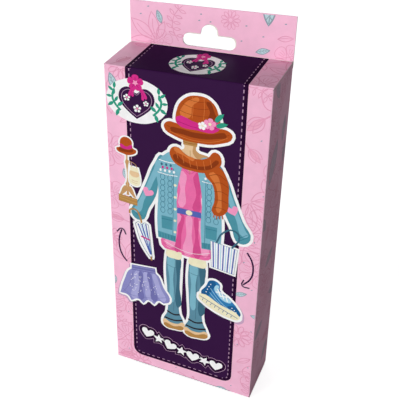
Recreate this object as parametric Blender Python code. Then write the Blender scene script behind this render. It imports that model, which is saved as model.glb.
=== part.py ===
"""Magnetic dress-up doll in its hanging carton.

A tuck-end carton with a euro-slot header holds a plywood figure in a slotted wooden stand and a
die-cut sheet of magnetic garments on a folded card fitment. Metres, +Z up. The origin is the centre
of the footprint, the front faces -Y, and every length below is the real one.
"""

import math

import bmesh
import bpy
from mathutils import Matrix, Vector

# Carton board and its four walls
CARTON_WIDTH = 0.100
CARTON_DEPTH = 0.0385
CARTON_HEIGHT = 0.231
BOARD = 0.0005
SEAM = 0.0003  # clear gap wherever two pieces meet
CREASE_RADIUS = 0.0007  # outer round of a folded corner
GLUE_FLAP_WIDTH = 0.014
GLUE_FLAP_TAPER = math.radians(15)

# Hanging header with its euro slot
HEADER_RISE = 0.026
HEADER_OVERLAP = 0.004  # how far the folded ply reaches below the lid plane
HEADER_SET = 0.00002  # the header's face lies this far behind the wall's, so the two join cleanly
SLOT_LENGTH = 0.032
SLOT_HEIGHT = 0.0075
SLOT_CORNER = 0.003
SLOT_LIFT = 0.0017  # slot's lower edge above the lid plane
SLOT_BUMP_WIDTH = 0.010
SLOT_BUMP_RISE = 0.0062
SLOT_BLEND = 0.0013

# Tuck-end closures, the same at both ends
LID_SIDE_CLEARANCE = 0.0004
LID_CORNER = 0.0016  # clears the back wall's folded corners
TUCK_LENGTH = 0.014
TUCK_SIDE_CLEARANCE = 0.003
TUCK_CORNER = 0.009
TUCK_FOLD = math.radians(30)
FOLD_CLEARANCE = 0.00008  # left between the lid and the tuck flap's edge when it is folded right in
DUST_FLAP_LENGTH = 0.034
DUST_FRONT_RELIEF = 0.003
DUST_REAR_RELIEF = 0.003
DUST_FRONT_TAPER = math.radians(15)
DUST_REAR_TAPER = math.radians(12)
DUST_CORNER = 0.005

# Card fitment behind the figure, and the magnetic sheet on its face
FITMENT_SIDE_CLEARANCE = 0.0003
SHEET_THICKNESS = 0.0008
SHEET_MARGIN = 0.0022
SHEET_CORNER = 0.004
SHEET_TOP_CLEARANCE = 0.004
DIE_KERF = 0.0003
GARMENT_WEB = 0.0016  # least half width of sheet left between two cells

# Wooden stand and the figure in its groove
STAND_WIDTH = 0.050
STAND_HEIGHT = 0.020
STAND_FRONT_CLEARANCE = 0.0022
STAND_EDGE = 0.0014
GROOVE_DEPTH = 0.010
GROOVE_CLEARANCE = 0.0003
FIGURE_THICKNESS = 0.003
FIGURE_HEADROOM = 0.039
FIGURE_TAB_WIDTH = 0.026
FACE_THICKNESS = 0.0004
FACE_BORDER = 0.0018

# Levels and planes that follow from the sizes above
PLIES = 2 * BOARD
Y_FRONT = -(CARTON_DEPTH + BOARD) / 2
Y_BACK = Y_FRONT + CARTON_DEPTH
Y_INNER_FRONT = Y_FRONT + BOARD
Y_INNER_BACK = Y_BACK - BOARD
X_SIDE = CARTON_WIDTH / 2
LID_REACH = CARTON_DEPTH - BOARD - SEAM
LID_HALF_WIDTH = X_SIDE - LID_SIDE_CLEARANCE
TUCK_LEAN = math.atan(TUCK_LENGTH / (2 * LID_REACH))  # just enough for its edge to pass the back panel
TUCK_TURN = TUCK_LEAN + TUCK_FOLD
TUCK_START = (BOARD * (1 + math.sin(TUCK_TURN)) + FOLD_CLEARANCE) / math.cos(TUCK_TURN)
TUCK_SWEEP = TUCK_LENGTH * math.sin(TUCK_TURN) + BOARD
DUST_LEVEL = BOARD + SEAM  # outer face of a dust flap, in from the lid plane
WALL_LEVEL = DUST_LEVEL + BOARD + SEAM  # side wall's end, and the contents' floor
FITMENT_HALF_WIDTH = X_SIDE - 2 * (BOARD + SEAM) - FITMENT_SIDE_CLEARANCE
FITMENT_FACE = Y_INNER_BACK - SEAM - TUCK_SWEEP - SEAM - 2 * BOARD
SHEET_BACK = FITMENT_FACE - SEAM
STAND_BACK = FITMENT_FACE - SEAM
STAND_FRONT = Y_INNER_FRONT + STAND_FRONT_CLEARANCE
STAND_MIDDLE = (STAND_FRONT + STAND_BACK) / 2
STAND_TOP = WALL_LEVEL + STAND_HEIGHT
FIGURE_BASE = STAND_TOP + SEAM
FIGURE_HEIGHT = CARTON_HEIGHT - FIGURE_HEADROOM - FIGURE_BASE
SHEET_BOTTOM = STAND_TOP + SEAM
SHEET_TOP = CARTON_HEIGHT - WALL_LEVEL - SHEET_TOP_CLEARANCE

ARC_STEPS = 6  # facets on a filleted corner
CREASE_STEPS = 4
LOOP_STEPS = 4  # facets between two drawn points of a die-cut outline

# Colours of the materials: linear red, green, blue, roughness, metallic
FINISHES = {
    "printed_board": (0.88, 0.50, 0.67, 0.35, 0.0),
    "printed_lid": (0.045, 0.010, 0.055, 0.35, 0.0),
    "bare_board": (0.62, 0.60, 0.56, 0.85, 0.0),
    "fitment_card": (0.72, 0.70, 0.66, 0.80, 0.0),
    "magnet_sheet": (0.80, 0.80, 0.80, 0.45, 0.0),
    "garment_print": (0.33, 0.50, 0.62, 0.40, 0.0),
    "beech": (0.49, 0.29, 0.12, 0.55, 0.0),
    "plywood": (0.58, 0.42, 0.24, 0.60, 0.0),
    "steel_face": (0.80, 0.55, 0.42, 0.35, 0.6),
}

SMOOTH = 0
CORNER = 1

# Figure's right half from crown to foot, drawn 165 high: across, up, and whether it turns sharply
FIGURE_GRID = 165
FIGURE_HALF = (
    (0, 165, SMOOTH),
    (7, 163.5, SMOOTH),
    (13.5, 158, SMOOTH),
    (17.5, 149, SMOOTH),
    (19, 137, SMOOTH),
    (18, 127, SMOOTH),
    (15, 121.5, SMOOTH),
    (19.5, 116, SMOOTH),
    (22.5, 106, SMOOTH),
    (25, 92, SMOOTH),
    (28, 77, SMOOTH),
    (28, 69.5, SMOOTH),
    (24, 67, SMOOTH),
    (20.5, 70, SMOOTH),
    (18.5, 60, SMOOTH),
    (16, 42, SMOOTH),
    (13.5, 24, SMOOTH),
    (13.5, 12, SMOOTH),
    (17.5, 5, SMOOTH),
    (17, 0, CORNER),
)

# Garments' outlines as shares of their half cell. A mirrored one is drawn from its top to its bottom.
HAT = (
    (0, 0.86, SMOOTH),
    (0.44, 0.80, SMOOTH),
    (0.56, -0.06, SMOOTH),
    (0.96, -0.36, SMOOTH),
    (0.86, -0.78, SMOOTH),
    (0, -0.92, SMOOTH),
)
SUNGLASSES = (
    (0, 0.30, SMOOTH),
    (0.30, 0.66, SMOOTH),
    (0.84, 0.80, SMOOTH),
    (0.94, 0.05, SMOOTH),
    (0.62, -0.80, SMOOTH),
    (0.24, -0.66, SMOOTH),
    (0, -0.24, SMOOTH),
)
JACKET = (
    (0, 0.80, SMOOTH),
    (0.26, 0.94, SMOOTH),
    (0.60, 0.74, SMOOTH),
    (0.80, 0.20, SMOOTH),
    (0.95, -0.66, SMOOTH),
    (0.78, -0.82, SMOOTH),
    (0.60, -0.62, SMOOTH),
    (0.56, -0.92, CORNER),
    (0, -0.94, SMOOTH),
)
BLOUSE = (
    (0, 0.66, SMOOTH),
    (0.26, 0.92, SMOOTH),
    (0.62, 0.80, SMOOTH),
    (0.94, 0.20, SMOOTH),
    (0.78, -0.14, SMOOTH),
    (0.54, 0.02, SMOOTH),
    (0.60, -0.86, CORNER),
    (0.28, -0.94, SMOOTH),
    (0, -0.88, SMOOTH),
)
DRESS = (
    (0, 0.78, SMOOTH),
    (0.24, 0.94, SMOOTH),
    (0.46, 0.78, SMOOTH),
    (0.36, 0.34, SMOOTH),
    (0.58, -0.18, SMOOTH),
    (0.88, -0.82, CORNER),
    (0.44, -0.94, SMOOTH),
    (0, -0.88, SMOOTH),
)
TROUSERS = (
    (0, 0.92, SMOOTH),
    (0.50, 0.92, CORNER),
    (0.62, 0.42, SMOOTH),
    (0.66, -0.90, CORNER),
    (0.18, -0.92, CORNER),
    (0, 0.34, CORNER),
)
SKIRT = (
    (0, 0.84, SMOOTH),
    (0.44, 0.84, CORNER),
    (0.60, 0.20, SMOOTH),
    (0.92, -0.70, SMOOTH),
    (0.50, -0.92, SMOOTH),
    (0, -0.84, SMOOTH),
)
HANDBAG = (
    (0, 0.90, SMOOTH),
    (0.46, 0.78, SMOOTH),
    (0.62, 0.26, SMOOTH),
    (0.88, 0.12, SMOOTH),
    (0.92, -0.58, SMOOTH),
    (0.70, -0.88, SMOOTH),
    (0, -0.92, SMOOTH),
)
SHOE = (
    (-0.84, 0.70, SMOOTH),
    (-0.34, 0.84, SMOOTH),
    (0.06, 0.16, SMOOTH),
    (0.66, -0.04, SMOOTH),
    (0.90, -0.46, SMOOTH),
    (0.66, -0.84, SMOOTH),
    (-0.82, -0.84, SMOOTH),
    (-0.92, -0.04, SMOOTH),
)

# Rows of the magnetic sheet from the top: share of its height, then the cells from the left
SHEET_ROWS = (
    (0.12, ("hat", HAT), ("sunglasses", SUNGLASSES)),
    (0.22, ("jacket", JACKET), ("blouse", BLOUSE)),
    (0.30, ("dress", DRESS), ("trousers", TROUSERS)),
    (0.22, ("skirt", SKIRT), ("handbag", HANDBAG)),
    (0.14, ("shoe_left", SHOE), ("shoe_right", SHOE)),
)
CELL_USE = {"sunglasses": (0.86, 0.66), "trousers": (1.0, 1.0), "handbag": (0.78, 0.78), "skirt": (0.86, 0.84)}
CELL_USE_SHOE = (0.52, 0.62)


def clear_scene():
    for thing in list(bpy.data.objects):
        bpy.data.objects.remove(thing, do_unlink=True)


def finish(name):
    """One Principled material for each finish, made when it is first asked for."""
    made = bpy.data.materials.get(name)
    if made:
        return made
    red, green, blue, roughness, metallic = FINISHES[name]
    made = bpy.data.materials.new(name)
    made.use_nodes = True
    shader = made.node_tree.nodes["Principled BSDF"]
    shader.inputs["Base Color"].default_value = (red, green, blue, 1.0)
    shader.inputs["Roughness"].default_value = roughness
    shader.inputs["Metallic"].default_value = metallic
    made.diffuse_color = (red, green, blue, 1.0)
    return made


def filleted(corners, steps=ARC_STEPS):
    """A closed outline through (across, up, radius) corners, each rounded by its radius."""
    outline = []
    for index, (across, up, radius) in enumerate(corners):
        here = Vector((across, up))
        before = Vector(corners[index - 1][:2]) - here
        after = Vector(corners[(index + 1) % len(corners)][:2]) - here
        if radius <= 0:
            outline.append(here)
            continue
        half_angle = before.angle(after) / 2
        run = min(radius / math.tan(half_angle), before.length / 2, after.length / 2)
        fitted = run * math.tan(half_angle)
        bisector = (before.normalized() + after.normalized()).normalized()
        centre = here + bisector * fitted / math.sin(half_angle)
        start = here + before.normalized() * run - centre
        end = here + after.normalized() * run - centre
        turn = start.angle_signed(end)
        for step in range(steps + 1):
            outline.append(centre + Matrix.Rotation(-turn * step / steps, 2) @ start)
    return outline


def smooth_loop(points, steps=LOOP_STEPS):
    """A closed curve through drawn points: each span leaves and enters along its neighbours' chord."""
    outline = []
    count = len(points)

    def slope(index):
        if points[index % count][2] == CORNER:
            return Vector((0, 0))
        return (Vector(points[(index + 1) % count][:2]) - Vector(points[(index - 1) % count][:2])) / 2

    for index in range(count):
        start = Vector(points[index][:2])
        end = Vector(points[(index + 1) % count][:2])
        for step in range(steps):
            t = step / steps
            outline.append(
                start * (2 * t**3 - 3 * t**2 + 1)
                + slope(index) * (t**3 - 2 * t**2 + t)
                + end * (3 * t**2 - 2 * t**3)
                + slope(index + 1) * (t**3 - t**2)
            )
    return outline


def mirrored(half):
    """Both halves of an outline drawn from top to bottom on its right side."""
    left = [(-across, up, kind) for across, up, kind in reversed(half) if across > 0]
    return list(half) + left


def placed(outline, scale_across, scale_up, across=0.0, up=0.0):
    return [Vector((across + point.x * scale_across, up + point.y * scale_up)) for point in outline]


def widened(outline, distance):
    """The outline moved outwards by a distance, along the normal at each point."""
    count = len(outline)
    area = sum(outline[i - 1].x * outline[i].y - outline[i].x * outline[i - 1].y for i in range(count))
    outward = 1 if area > 0 else -1
    moved = []
    for index, point in enumerate(outline):
        back = (point - outline[index - 1]).normalized()
        ahead = (outline[(index + 1) % count] - point).normalized()
        normal_back = Vector((back.y, -back.x)) * outward
        normal_ahead = Vector((ahead.y, -ahead.x)) * outward
        normal = (normal_back + normal_ahead).normalized()
        moved.append(point + normal * distance / max(normal.dot(normal_ahead), 0.5))
    return moved


PLANES = {
    "lying": lambda u, v, w: (u, v, w),
    "standing": lambda u, v, w: (u, w, v),
    "profile": lambda u, v, w: (w, u, v),
}


def prism(outline, plane, low, high):
    """A solid with this outline, extruded from low to high square to its plane."""
    mesh = bmesh.new()
    place = PLANES[plane]
    base = [mesh.verts.new(place(point[0], point[1], low)) for point in outline]
    face = mesh.faces.new(base)
    extruded = bmesh.ops.extrude_face_region(mesh, geom=[face], use_keep_orig=True)
    risen = [item for item in extruded["geom"] if isinstance(item, bmesh.types.BMVert)]
    way = Vector(place(0, 0, high - low))
    bmesh.ops.translate(mesh, verts=risen, vec=way)
    bmesh.ops.recalc_face_normals(mesh, faces=mesh.faces)
    return mesh


def add_piece(name, mesh, material, origin=(0, 0, 0), parent=None):
    """A named object whose own origin lies at this point of the world, usually its joint's axis."""
    origin = Vector(origin)
    bmesh.ops.translate(mesh, verts=mesh.verts, vec=-origin)
    data = bpy.data.meshes.new(name)
    mesh.to_mesh(data)
    mesh.free()
    data.materials.append(finish(material))
    piece = bpy.data.objects.new(name, data)
    bpy.context.scene.collection.objects.link(piece)
    piece.location = origin
    if parent:
        piece.parent = parent
        piece.matrix_parent_inverse = Matrix.Translation(-parent.location)
    return piece


def add_cutter(name, mesh):
    """A helper that only cuts: drawn as wire and left out of the object."""
    cutter = add_piece(name, mesh, "bare_board")
    cutter.hide_render = True
    cutter.display_type = "WIRE"
    return cutter


def boolean(piece, other, operation):
    step = piece.modifiers.new(f"{operation.lower()} {other.name}", "BOOLEAN")
    step.object = other
    step.operation = operation
    step.solver = "EXACT"


def creased_wall(y_outer, inward):
    """Cross-section of a front or back wall: a flat board whose two ends turn the folded corners."""
    x_centre = X_SIDE - CREASE_RADIUS
    y_centre = y_outer + inward * CREASE_RADIUS
    turns = [step * 90 / CREASE_STEPS for step in range(CREASE_STEPS + 1)]
    ends = [(-x_centre, 180 + turn) for turn in turns] + [(x_centre, 270 + turn) for turn in turns]
    outline = []
    for radius, path in ((CREASE_RADIUS, ends), (CREASE_RADIUS - BOARD, ends[::-1])):
        for x, degrees in path:
            angle = math.radians(degrees)
            outline.append((x + radius * math.cos(angle), y_centre + inward * radius * math.sin(angle)))
    return outline


def euro_slot():
    """The hanging slot: a round-ended bar with a round bump over its middle."""
    half = SLOT_LENGTH / 2
    bump = SLOT_BUMP_WIDTH / 2
    low = CARTON_HEIGHT + SLOT_LIFT
    high = low + SLOT_HEIGHT
    top = high + SLOT_BUMP_RISE
    return filleted(
        [
            (-half, low, SLOT_CORNER),
            (half, low, SLOT_CORNER),
            (half, high, SLOT_CORNER),
            (bump, high, SLOT_BLEND),
            (bump, top, bump),
            (-bump, top, bump),
            (-bump, high, SLOT_BLEND),
            (-half, high, SLOT_CORNER),
        ]
    )


def header_profile():
    """Side view of the hanging header: the back wall runs up, folds over and comes down behind itself."""
    top = CARTON_HEIGHT + HEADER_RISE
    low = CARTON_HEIGHT - HEADER_OVERLAP
    face = Y_INNER_BACK + HEADER_SET
    folded = Y_INNER_BACK + PLIES
    round_over = (folded - face) / 2
    return filleted(
        [(face, low, 0), (folded, low, 0), (folded, top, round_over), (face, top, round_over)],
        steps=CREASE_STEPS,
    )


def add_walls():
    """The four fixed walls, the glued seam and the header."""
    front_top = CARTON_HEIGHT - DUST_LEVEL
    add_piece("front_panel", prism(creased_wall(Y_FRONT, 1), "lying", DUST_LEVEL, front_top), "printed_board")

    back = add_piece("back_panel", prism(creased_wall(Y_BACK, -1), "lying", 0, CARTON_HEIGHT), "printed_board")
    header = add_cutter("header_fold", prism(header_profile(), "profile", -X_SIDE, X_SIDE))
    slot = add_cutter("slot_punch", prism(euro_slot(), "standing", Y_INNER_BACK - PLIES, Y_INNER_BACK + 2 * PLIES))
    boolean(back, header, "UNION")
    boolean(back, slot, "DIFFERENCE")

    wall_front = Y_FRONT + CREASE_RADIUS + SEAM
    wall_back = Y_BACK - CREASE_RADIUS - SEAM
    wall_top = CARTON_HEIGHT - WALL_LEVEL
    for side, name in ((-1, "left_side_panel"), (1, "right_side_panel")):
        outline = [
            (side * X_SIDE, wall_front),
            (side * X_SIDE, wall_back),
            (side * (X_SIDE - BOARD), wall_back),
            (side * (X_SIDE - BOARD), wall_front),
        ]
        add_piece(name, prism(outline, "lying", WALL_LEVEL, wall_top), "printed_board")

    seam_rear = Y_INNER_BACK - SEAM
    seam_front = seam_rear - GLUE_FLAP_WIDTH
    cut = GLUE_FLAP_WIDTH * math.tan(GLUE_FLAP_TAPER)
    outline = [
        (seam_rear, WALL_LEVEL),
        (seam_rear, wall_top),
        (seam_front, wall_top - cut),
        (seam_front, WALL_LEVEL + cut),
    ]
    glued = -X_SIDE + BOARD + SEAM
    add_piece("glue_flap", prism(outline, "profile", glued, glued + BOARD), "bare_board")


def add_closure(end, level, inside):
    """A lid with its tuck flap and dust flaps. inside is the way into the carton: -1 at the top, 1 below."""
    rear = Y_FRONT + LID_REACH
    wide = LID_HALF_WIDTH
    outline = filleted(
        [(-wide, Y_FRONT, 0), (wide, Y_FRONT, 0), (wide, rear, LID_CORNER), (-wide, rear, LID_CORNER)]
    )
    lid_inner = level + inside * BOARD
    plate = prism(outline, "lying", min(level, lid_inner), max(level, lid_inner))
    lid = add_piece(f"{end}_lid", plate, "printed_lid", (0, Y_FRONT, level))

    near = level + inside * TUCK_START
    far = level + inside * TUCK_LENGTH
    half = LID_HALF_WIDTH - TUCK_SIDE_CLEARANCE
    outline = filleted([(-half, near, 0), (half, near, 0), (half, far, TUCK_CORNER), (-half, far, TUCK_CORNER)])
    flap = prism(outline, "standing", rear - BOARD, rear)
    tuck = add_piece(f"{end}_tuck_flap", flap, "printed_lid", (0, rear, level), lid)
    tuck.rotation_euler.x = inside * TUCK_LEAN

    dust_outer = level + inside * DUST_LEVEL
    dust_inner = dust_outer + inside * BOARD
    near_front = Y_FRONT + DUST_FRONT_RELIEF
    near_rear = rear - DUST_REAR_RELIEF
    for side, name in ((-1, "left"), (1, "right")):
        tip = side * (X_SIDE - DUST_FLAP_LENGTH)
        outline = filleted(
            [
                (side * X_SIDE, near_front, 0),
                (side * X_SIDE, near_rear, 0),
                (tip, near_rear - DUST_FLAP_LENGTH * math.tan(DUST_REAR_TAPER), DUST_CORNER),
                (tip, near_front + DUST_FLAP_LENGTH * math.tan(DUST_FRONT_TAPER), DUST_CORNER),
            ]
        )
        add_piece(
            f"{end}_dust_flap_{name}",
            prism(outline, "lying", min(dust_outer, dust_inner), max(dust_outer, dust_inner)),
            "printed_board",
            (side * X_SIDE, 0, dust_outer),
        )


def add_fitment():
    """The folded card that holds the sheet upright and keeps the figure forward of the tuck flaps."""
    half = FITMENT_HALF_WIDTH
    rear = Y_INNER_BACK - SEAM
    inner = CREASE_RADIUS - BOARD
    outline = filleted(
        [
            (-half, rear, 0),
            (-half, FITMENT_FACE, CREASE_RADIUS),
            (half, FITMENT_FACE, CREASE_RADIUS),
            (half, rear, 0),
            (half - BOARD, rear, 0),
            (half - BOARD, FITMENT_FACE + BOARD, inner),
            (-half + BOARD, FITMENT_FACE + BOARD, inner),
            (-half + BOARD, rear, 0),
        ],
        steps=CREASE_STEPS,
    )
    floor = WALL_LEVEL
    add_piece("inner_fitment", prism(outline, "lying", floor, CARTON_HEIGHT - WALL_LEVEL), "fitment_card")


def garment_outlines():
    """Each garment's name and its outline, laid out in the cells of the magnetic sheet."""
    sheet_half = FITMENT_HALF_WIDTH - SHEET_MARGIN
    cell_half = sheet_half / 2
    height = SHEET_TOP - SHEET_BOTTOM
    ceiling = SHEET_TOP
    laid = []
    for share, *cells in SHEET_ROWS:
        row_half = share * height / 2
        middle = ceiling - row_half
        ceiling -= 2 * row_half
        for side, (name, drawn) in zip((-1, 1), cells):
            loop = smooth_loop(drawn if drawn is SHOE else mirrored(drawn))
            wide, tall = CELL_USE_SHOE if drawn is SHOE else CELL_USE.get(name, (1.0, 1.0))
            turned = side if drawn is SHOE else 1
            across = turned * wide * (cell_half - GARMENT_WEB)
            up = tall * (row_half - GARMENT_WEB)
            laid.append((name, placed(loop, across, up, side * cell_half, middle)))
    return laid


def add_garments():
    """The die-cut sheet and the garments that press out of it towards the front."""
    sheet_front = SHEET_BACK - SHEET_THICKNESS
    half = FITMENT_HALF_WIDTH - SHEET_MARGIN
    corners = [(-half, SHEET_BOTTOM), (half, SHEET_BOTTOM), (half, SHEET_TOP), (-half, SHEET_TOP)]
    outline = filleted([(across, up, SHEET_CORNER) for across, up in corners])
    sheet = add_piece("magnet_sheet", prism(outline, "standing", sheet_front, SHEET_BACK), "magnet_sheet")
    for name, outline in garment_outlines():
        hole = prism(widened(outline, DIE_KERF), "standing", sheet_front - BOARD, SHEET_BACK + BOARD)
        boolean(sheet, add_cutter(f"{name}_die", hole), "DIFFERENCE")
        add_piece(name, prism(outline, "standing", sheet_front, SHEET_BACK), "garment_print")


def add_stand():
    """The beech block with a sawn groove that takes the figure's tab."""
    half = STAND_WIDTH / 2
    outline = filleted(
        [
            (STAND_FRONT, WALL_LEVEL, 0),
            (STAND_BACK, WALL_LEVEL, 0),
            (STAND_BACK, STAND_TOP, STAND_EDGE),
            (STAND_FRONT, STAND_TOP, STAND_EDGE),
        ]
    )
    block = add_piece("stand_block", prism(outline, "profile", -half, half), "beech")
    groove_half = FIGURE_THICKNESS / 2 + GROOVE_CLEARANCE
    groove = [
        (STAND_MIDDLE - groove_half, STAND_TOP - GROOVE_DEPTH),
        (STAND_MIDDLE + groove_half, STAND_TOP - GROOVE_DEPTH),
        (STAND_MIDDLE + groove_half, STAND_TOP + GROOVE_DEPTH),
        (STAND_MIDDLE - groove_half, STAND_TOP + GROOVE_DEPTH),
    ]
    saw = add_cutter("groove_saw", prism(groove, "profile", -STAND_WIDTH, STAND_WIDTH))
    boolean(block, saw, "DIFFERENCE")


def add_figure():
    """The plywood doll with its foot tab, and the steel face that the magnets cling to."""
    scale = FIGURE_HEIGHT / FIGURE_GRID
    body = placed(smooth_loop(mirrored(FIGURE_HALF)), scale, scale, 0, FIGURE_BASE)
    front = STAND_MIDDLE - FIGURE_THICKNESS / 2
    back = STAND_MIDDLE + FIGURE_THICKNESS / 2
    board = add_piece("doll_board", prism(body, "standing", front, back), "plywood")
    tab_half = FIGURE_TAB_WIDTH / 2
    tab_floor = STAND_TOP - GROOVE_DEPTH + GROOVE_CLEARANCE
    tab_top = FIGURE_BASE + GROOVE_DEPTH
    tab = [(-tab_half, tab_floor), (tab_half, tab_floor), (tab_half, tab_top), (-tab_half, tab_top)]
    boolean(board, add_cutter("foot_tab", prism(tab, "standing", front, back)), "UNION")

    face_back = front - SEAM
    face = widened(body, -FACE_BORDER)
    add_piece("doll_steel_face", prism(face, "standing", face_back - FACE_THICKNESS, face_back), "steel_face")


def main():
    clear_scene()
    add_walls()
    add_closure("top", CARTON_HEIGHT, -1)
    add_closure("bottom", 0, 1)
    add_fitment()
    add_stand()
    add_figure()
    add_garments()


if __name__ == "__main__":
    main()
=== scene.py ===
"""Looks of the boxed magnetic dress-up doll.

A folded boxboard carton with a hanging header, printed and varnished outside and bare inside, holds a
plywood doll in a beech stand and a die-cut sheet of magnetic garments. Artwork is drawn in millimetres
on each face and laid on it as thin films of ink. Metres, +Z up, front towards -Y.
"""

import logging
import math
import random
from dataclasses import dataclass, field
from enum import Enum
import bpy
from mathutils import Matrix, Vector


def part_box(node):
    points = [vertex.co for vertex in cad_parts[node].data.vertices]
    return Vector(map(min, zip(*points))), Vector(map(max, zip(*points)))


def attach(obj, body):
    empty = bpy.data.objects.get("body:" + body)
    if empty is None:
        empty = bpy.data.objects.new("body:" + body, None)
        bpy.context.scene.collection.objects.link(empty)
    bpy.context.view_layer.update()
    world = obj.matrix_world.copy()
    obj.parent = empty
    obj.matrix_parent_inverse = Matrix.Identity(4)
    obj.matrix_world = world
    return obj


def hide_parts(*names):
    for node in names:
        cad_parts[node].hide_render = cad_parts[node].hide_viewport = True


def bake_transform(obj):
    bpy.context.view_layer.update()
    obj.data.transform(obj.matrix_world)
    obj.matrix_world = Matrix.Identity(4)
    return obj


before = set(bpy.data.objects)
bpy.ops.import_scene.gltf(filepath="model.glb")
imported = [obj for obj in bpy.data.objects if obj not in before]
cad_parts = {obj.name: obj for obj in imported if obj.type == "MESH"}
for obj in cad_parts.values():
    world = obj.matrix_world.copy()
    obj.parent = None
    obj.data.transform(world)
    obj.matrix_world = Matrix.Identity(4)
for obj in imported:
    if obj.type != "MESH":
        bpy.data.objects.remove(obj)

from textwrap import dedent
from typing import Callable, Iterable

import bmesh
import bpy
from mathutils import Matrix, Vector

Piece, Socket = bpy.types.Object, bpy.types.NodeSocket
Place = tuple[float, float, float]
Corner = tuple[float, float]  # mm across and up on a face
Path = list[tuple[float, float, bool]]  # across, up, and whether the corner is sharp

LOG = logging.getLogger("carton")
MM = 0.001
FILM = 0.01  # mm between two films of ink, drawn thicker than the few microns of real ink
STAGGER = 0.03  # part of a film between fills of one level, so that none lie in one plane
PICTURE = 400  # pixels across the photograph
PANEL_HALF = 36.3  # mm, half width of the plum panel
BAND = 2.4  # mm, its dark border
HEART = "0,1.9 1.7,3.6 4.2,3.2 4.9,0.6 3,-2.2 0,-4.8! -3,-2.2 -4.9,0.6 -4.2,3.2 -1.7,3.6"


class Ink(Enum):
    """Printing inks and their sRGB hex values."""

    WHITE = "FAFAFA"
    BLUSH = "F5BCD6"
    ROSE_LINE = "EBA0BF"
    ROSE_TINT = "F3B0C9"
    LEAF = "BFD9E0"
    LEAF_LINE = "93A3AF"
    WALL_LEAF = "D7BBCD"
    WALL_VEIN = "C8AABF"
    PLUM = "351540"
    PLUM_DARK = "26062C"
    STITCH = "BC97B6"
    AUBURN = "B8531C"
    AUBURN_DARK = "8C3A12"
    AUBURN_LIGHT = "D9793A"
    MAGENTA = "D8318C"
    MAGENTA_DARK = "A81E6C"
    PINK = "EE6FA9"
    PINK_DARK = "D9508F"
    PINK_LIGHT = "F79CC6"
    DENIM = "7FB9CB"
    DENIM_DARK = "4E95A5"
    DENIM_LINE = "2F6F86"
    SLATE = "5E8FA3"
    SLATE_DARK = "3E6C80"
    FLEECE = "F3ECC9"
    SAND = "E9C79C"
    SAND_DARK = "C99A66"
    KRAFT = "B98A4C"
    KRAFT_LIGHT = "D0A566"
    TEAL = "2F9E83"
    LILAC = "8F8FC8"
    LILAC_DARK = "7474B2"
    LILAC_LIGHT = "ABABDB"
    BLUE = "2F7FB8"
    BLUE_DARK = "1F5F94"
    SKY = "A9D8EC"
    INDIGO = "5667B4"
    BLACK = "2A2226"
    SKIN = "F3CDB0"
    SKIN_DARK = "E3A98A"
    SHADE = "CDA6C6"


class Side(Enum):
    """The faces that carry artwork: across and up directions, and the body they ride on."""

    FRONT = ((1, 0, 0), (0, 0, 1), "carton")
    BACK = ((-1, 0, 0), (0, 0, 1), "carton")
    LEFT = ((0, -1, 0), (0, 0, 1), "carton")
    RIGHT = ((0, 1, 0), (0, 0, 1), "carton")
    TOP = ((1, 0, 0), (0, 1, 0), "top_lid")
    BOTTOM = ((1, 0, 0), (0, -1, 0), "bottom_lid")


def linear(code: str) -> tuple[float, float, float, float]:
    """Turns an sRGB colour to a linear one.

    Args:
        code: six hex digits.

    Returns:
        Linear red, green, blue and a full alpha.
    """
    parts = [int(code[i : i + 2], 16) / 255 for i in (0, 2, 4)]
    return *(p / 12.92 if p <= 0.04045 else ((p + 0.055) / 1.055) ** 2.4 for p in parts), 1.0


def add_node(tree: bpy.types.NodeTree, kind: str, inputs: dict | None = None, **settings) -> bpy.types.Node:
    """Adds one node.

    Args:
        tree: the material's or world's node tree.
        kind: the node's type name without its ShaderNode.
        inputs: values or output sockets by input name or number.
        settings: the node's own properties.

    Returns:
        The new node.
    """
    node = tree.nodes.new("ShaderNode" + kind)
    for name, value in settings.items():
        setattr(node, name, value)
    for name, value in (inputs or {}).items():
        if isinstance(value, Socket):
            tree.links.new(value, node.inputs[name])
        else:
            node.inputs[name].default_value = value
    return node


@dataclass(frozen=True)
class Grain:
    """Noise of a real size, raw or mapped to a share."""

    size: float  # metres, the width of one blotch
    low: float = 0.0  # the noise that becomes least
    high: float = 0.0  # the noise that becomes most, or 0 for raw noise
    most: float = 1.0
    least: float = 0.0
    detail: float = 3.0
    stretch: Place = (1, 1, 1)  # how many times longer it is along x, y and z


@dataclass
class Dye:
    """The nodes of one material while it is mixed."""

    tree: bpy.types.NodeTree
    place: Socket  # Object coordinates

    def ranged(self, value: Socket, low: float, high: float, most: float = 1.0, least: float = 0.0) -> Socket:
        """Maps a value from low..high to least..most smoothly and clamps it."""
        ends = {0: value, 1: low, 2: high, 3: least, 4: most}
        return add_node(self.tree, "MapRange", ends, interpolation_type="SMOOTHSTEP").outputs[0]

    def noise(self, grain: Grain) -> Socket:
        """Adds the noise of a grain.

        Args:
            grain: its size, detail, stretch and range.

        Returns:
            The noise, mapped if the grain has a range.
        """
        spread = {0: self.place, "Scale": tuple(1 / s for s in grain.stretch)}
        turned = add_node(self.tree, "Mapping", spread).outputs[0]
        look = {0: turned, "Scale": 1 / grain.size, "Detail": grain.detail}
        raw = add_node(self.tree, "TexNoise", look).outputs[0]
        return self.ranged(raw, grain.low, grain.high, grain.most, grain.least) if grain.high else raw

    def mixed(self, share: Socket, low: Socket | str, high: Socket | str) -> Socket:
        """Mixes a share of the high colour over the low one, each a socket or hex digits."""
        low, high = (linear(colour) if isinstance(colour, str) else colour for colour in (low, high))
        return add_node(self.tree, "Mix", {0: share, 6: low, 7: high}, data_type="RGBA").outputs[2]


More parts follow.
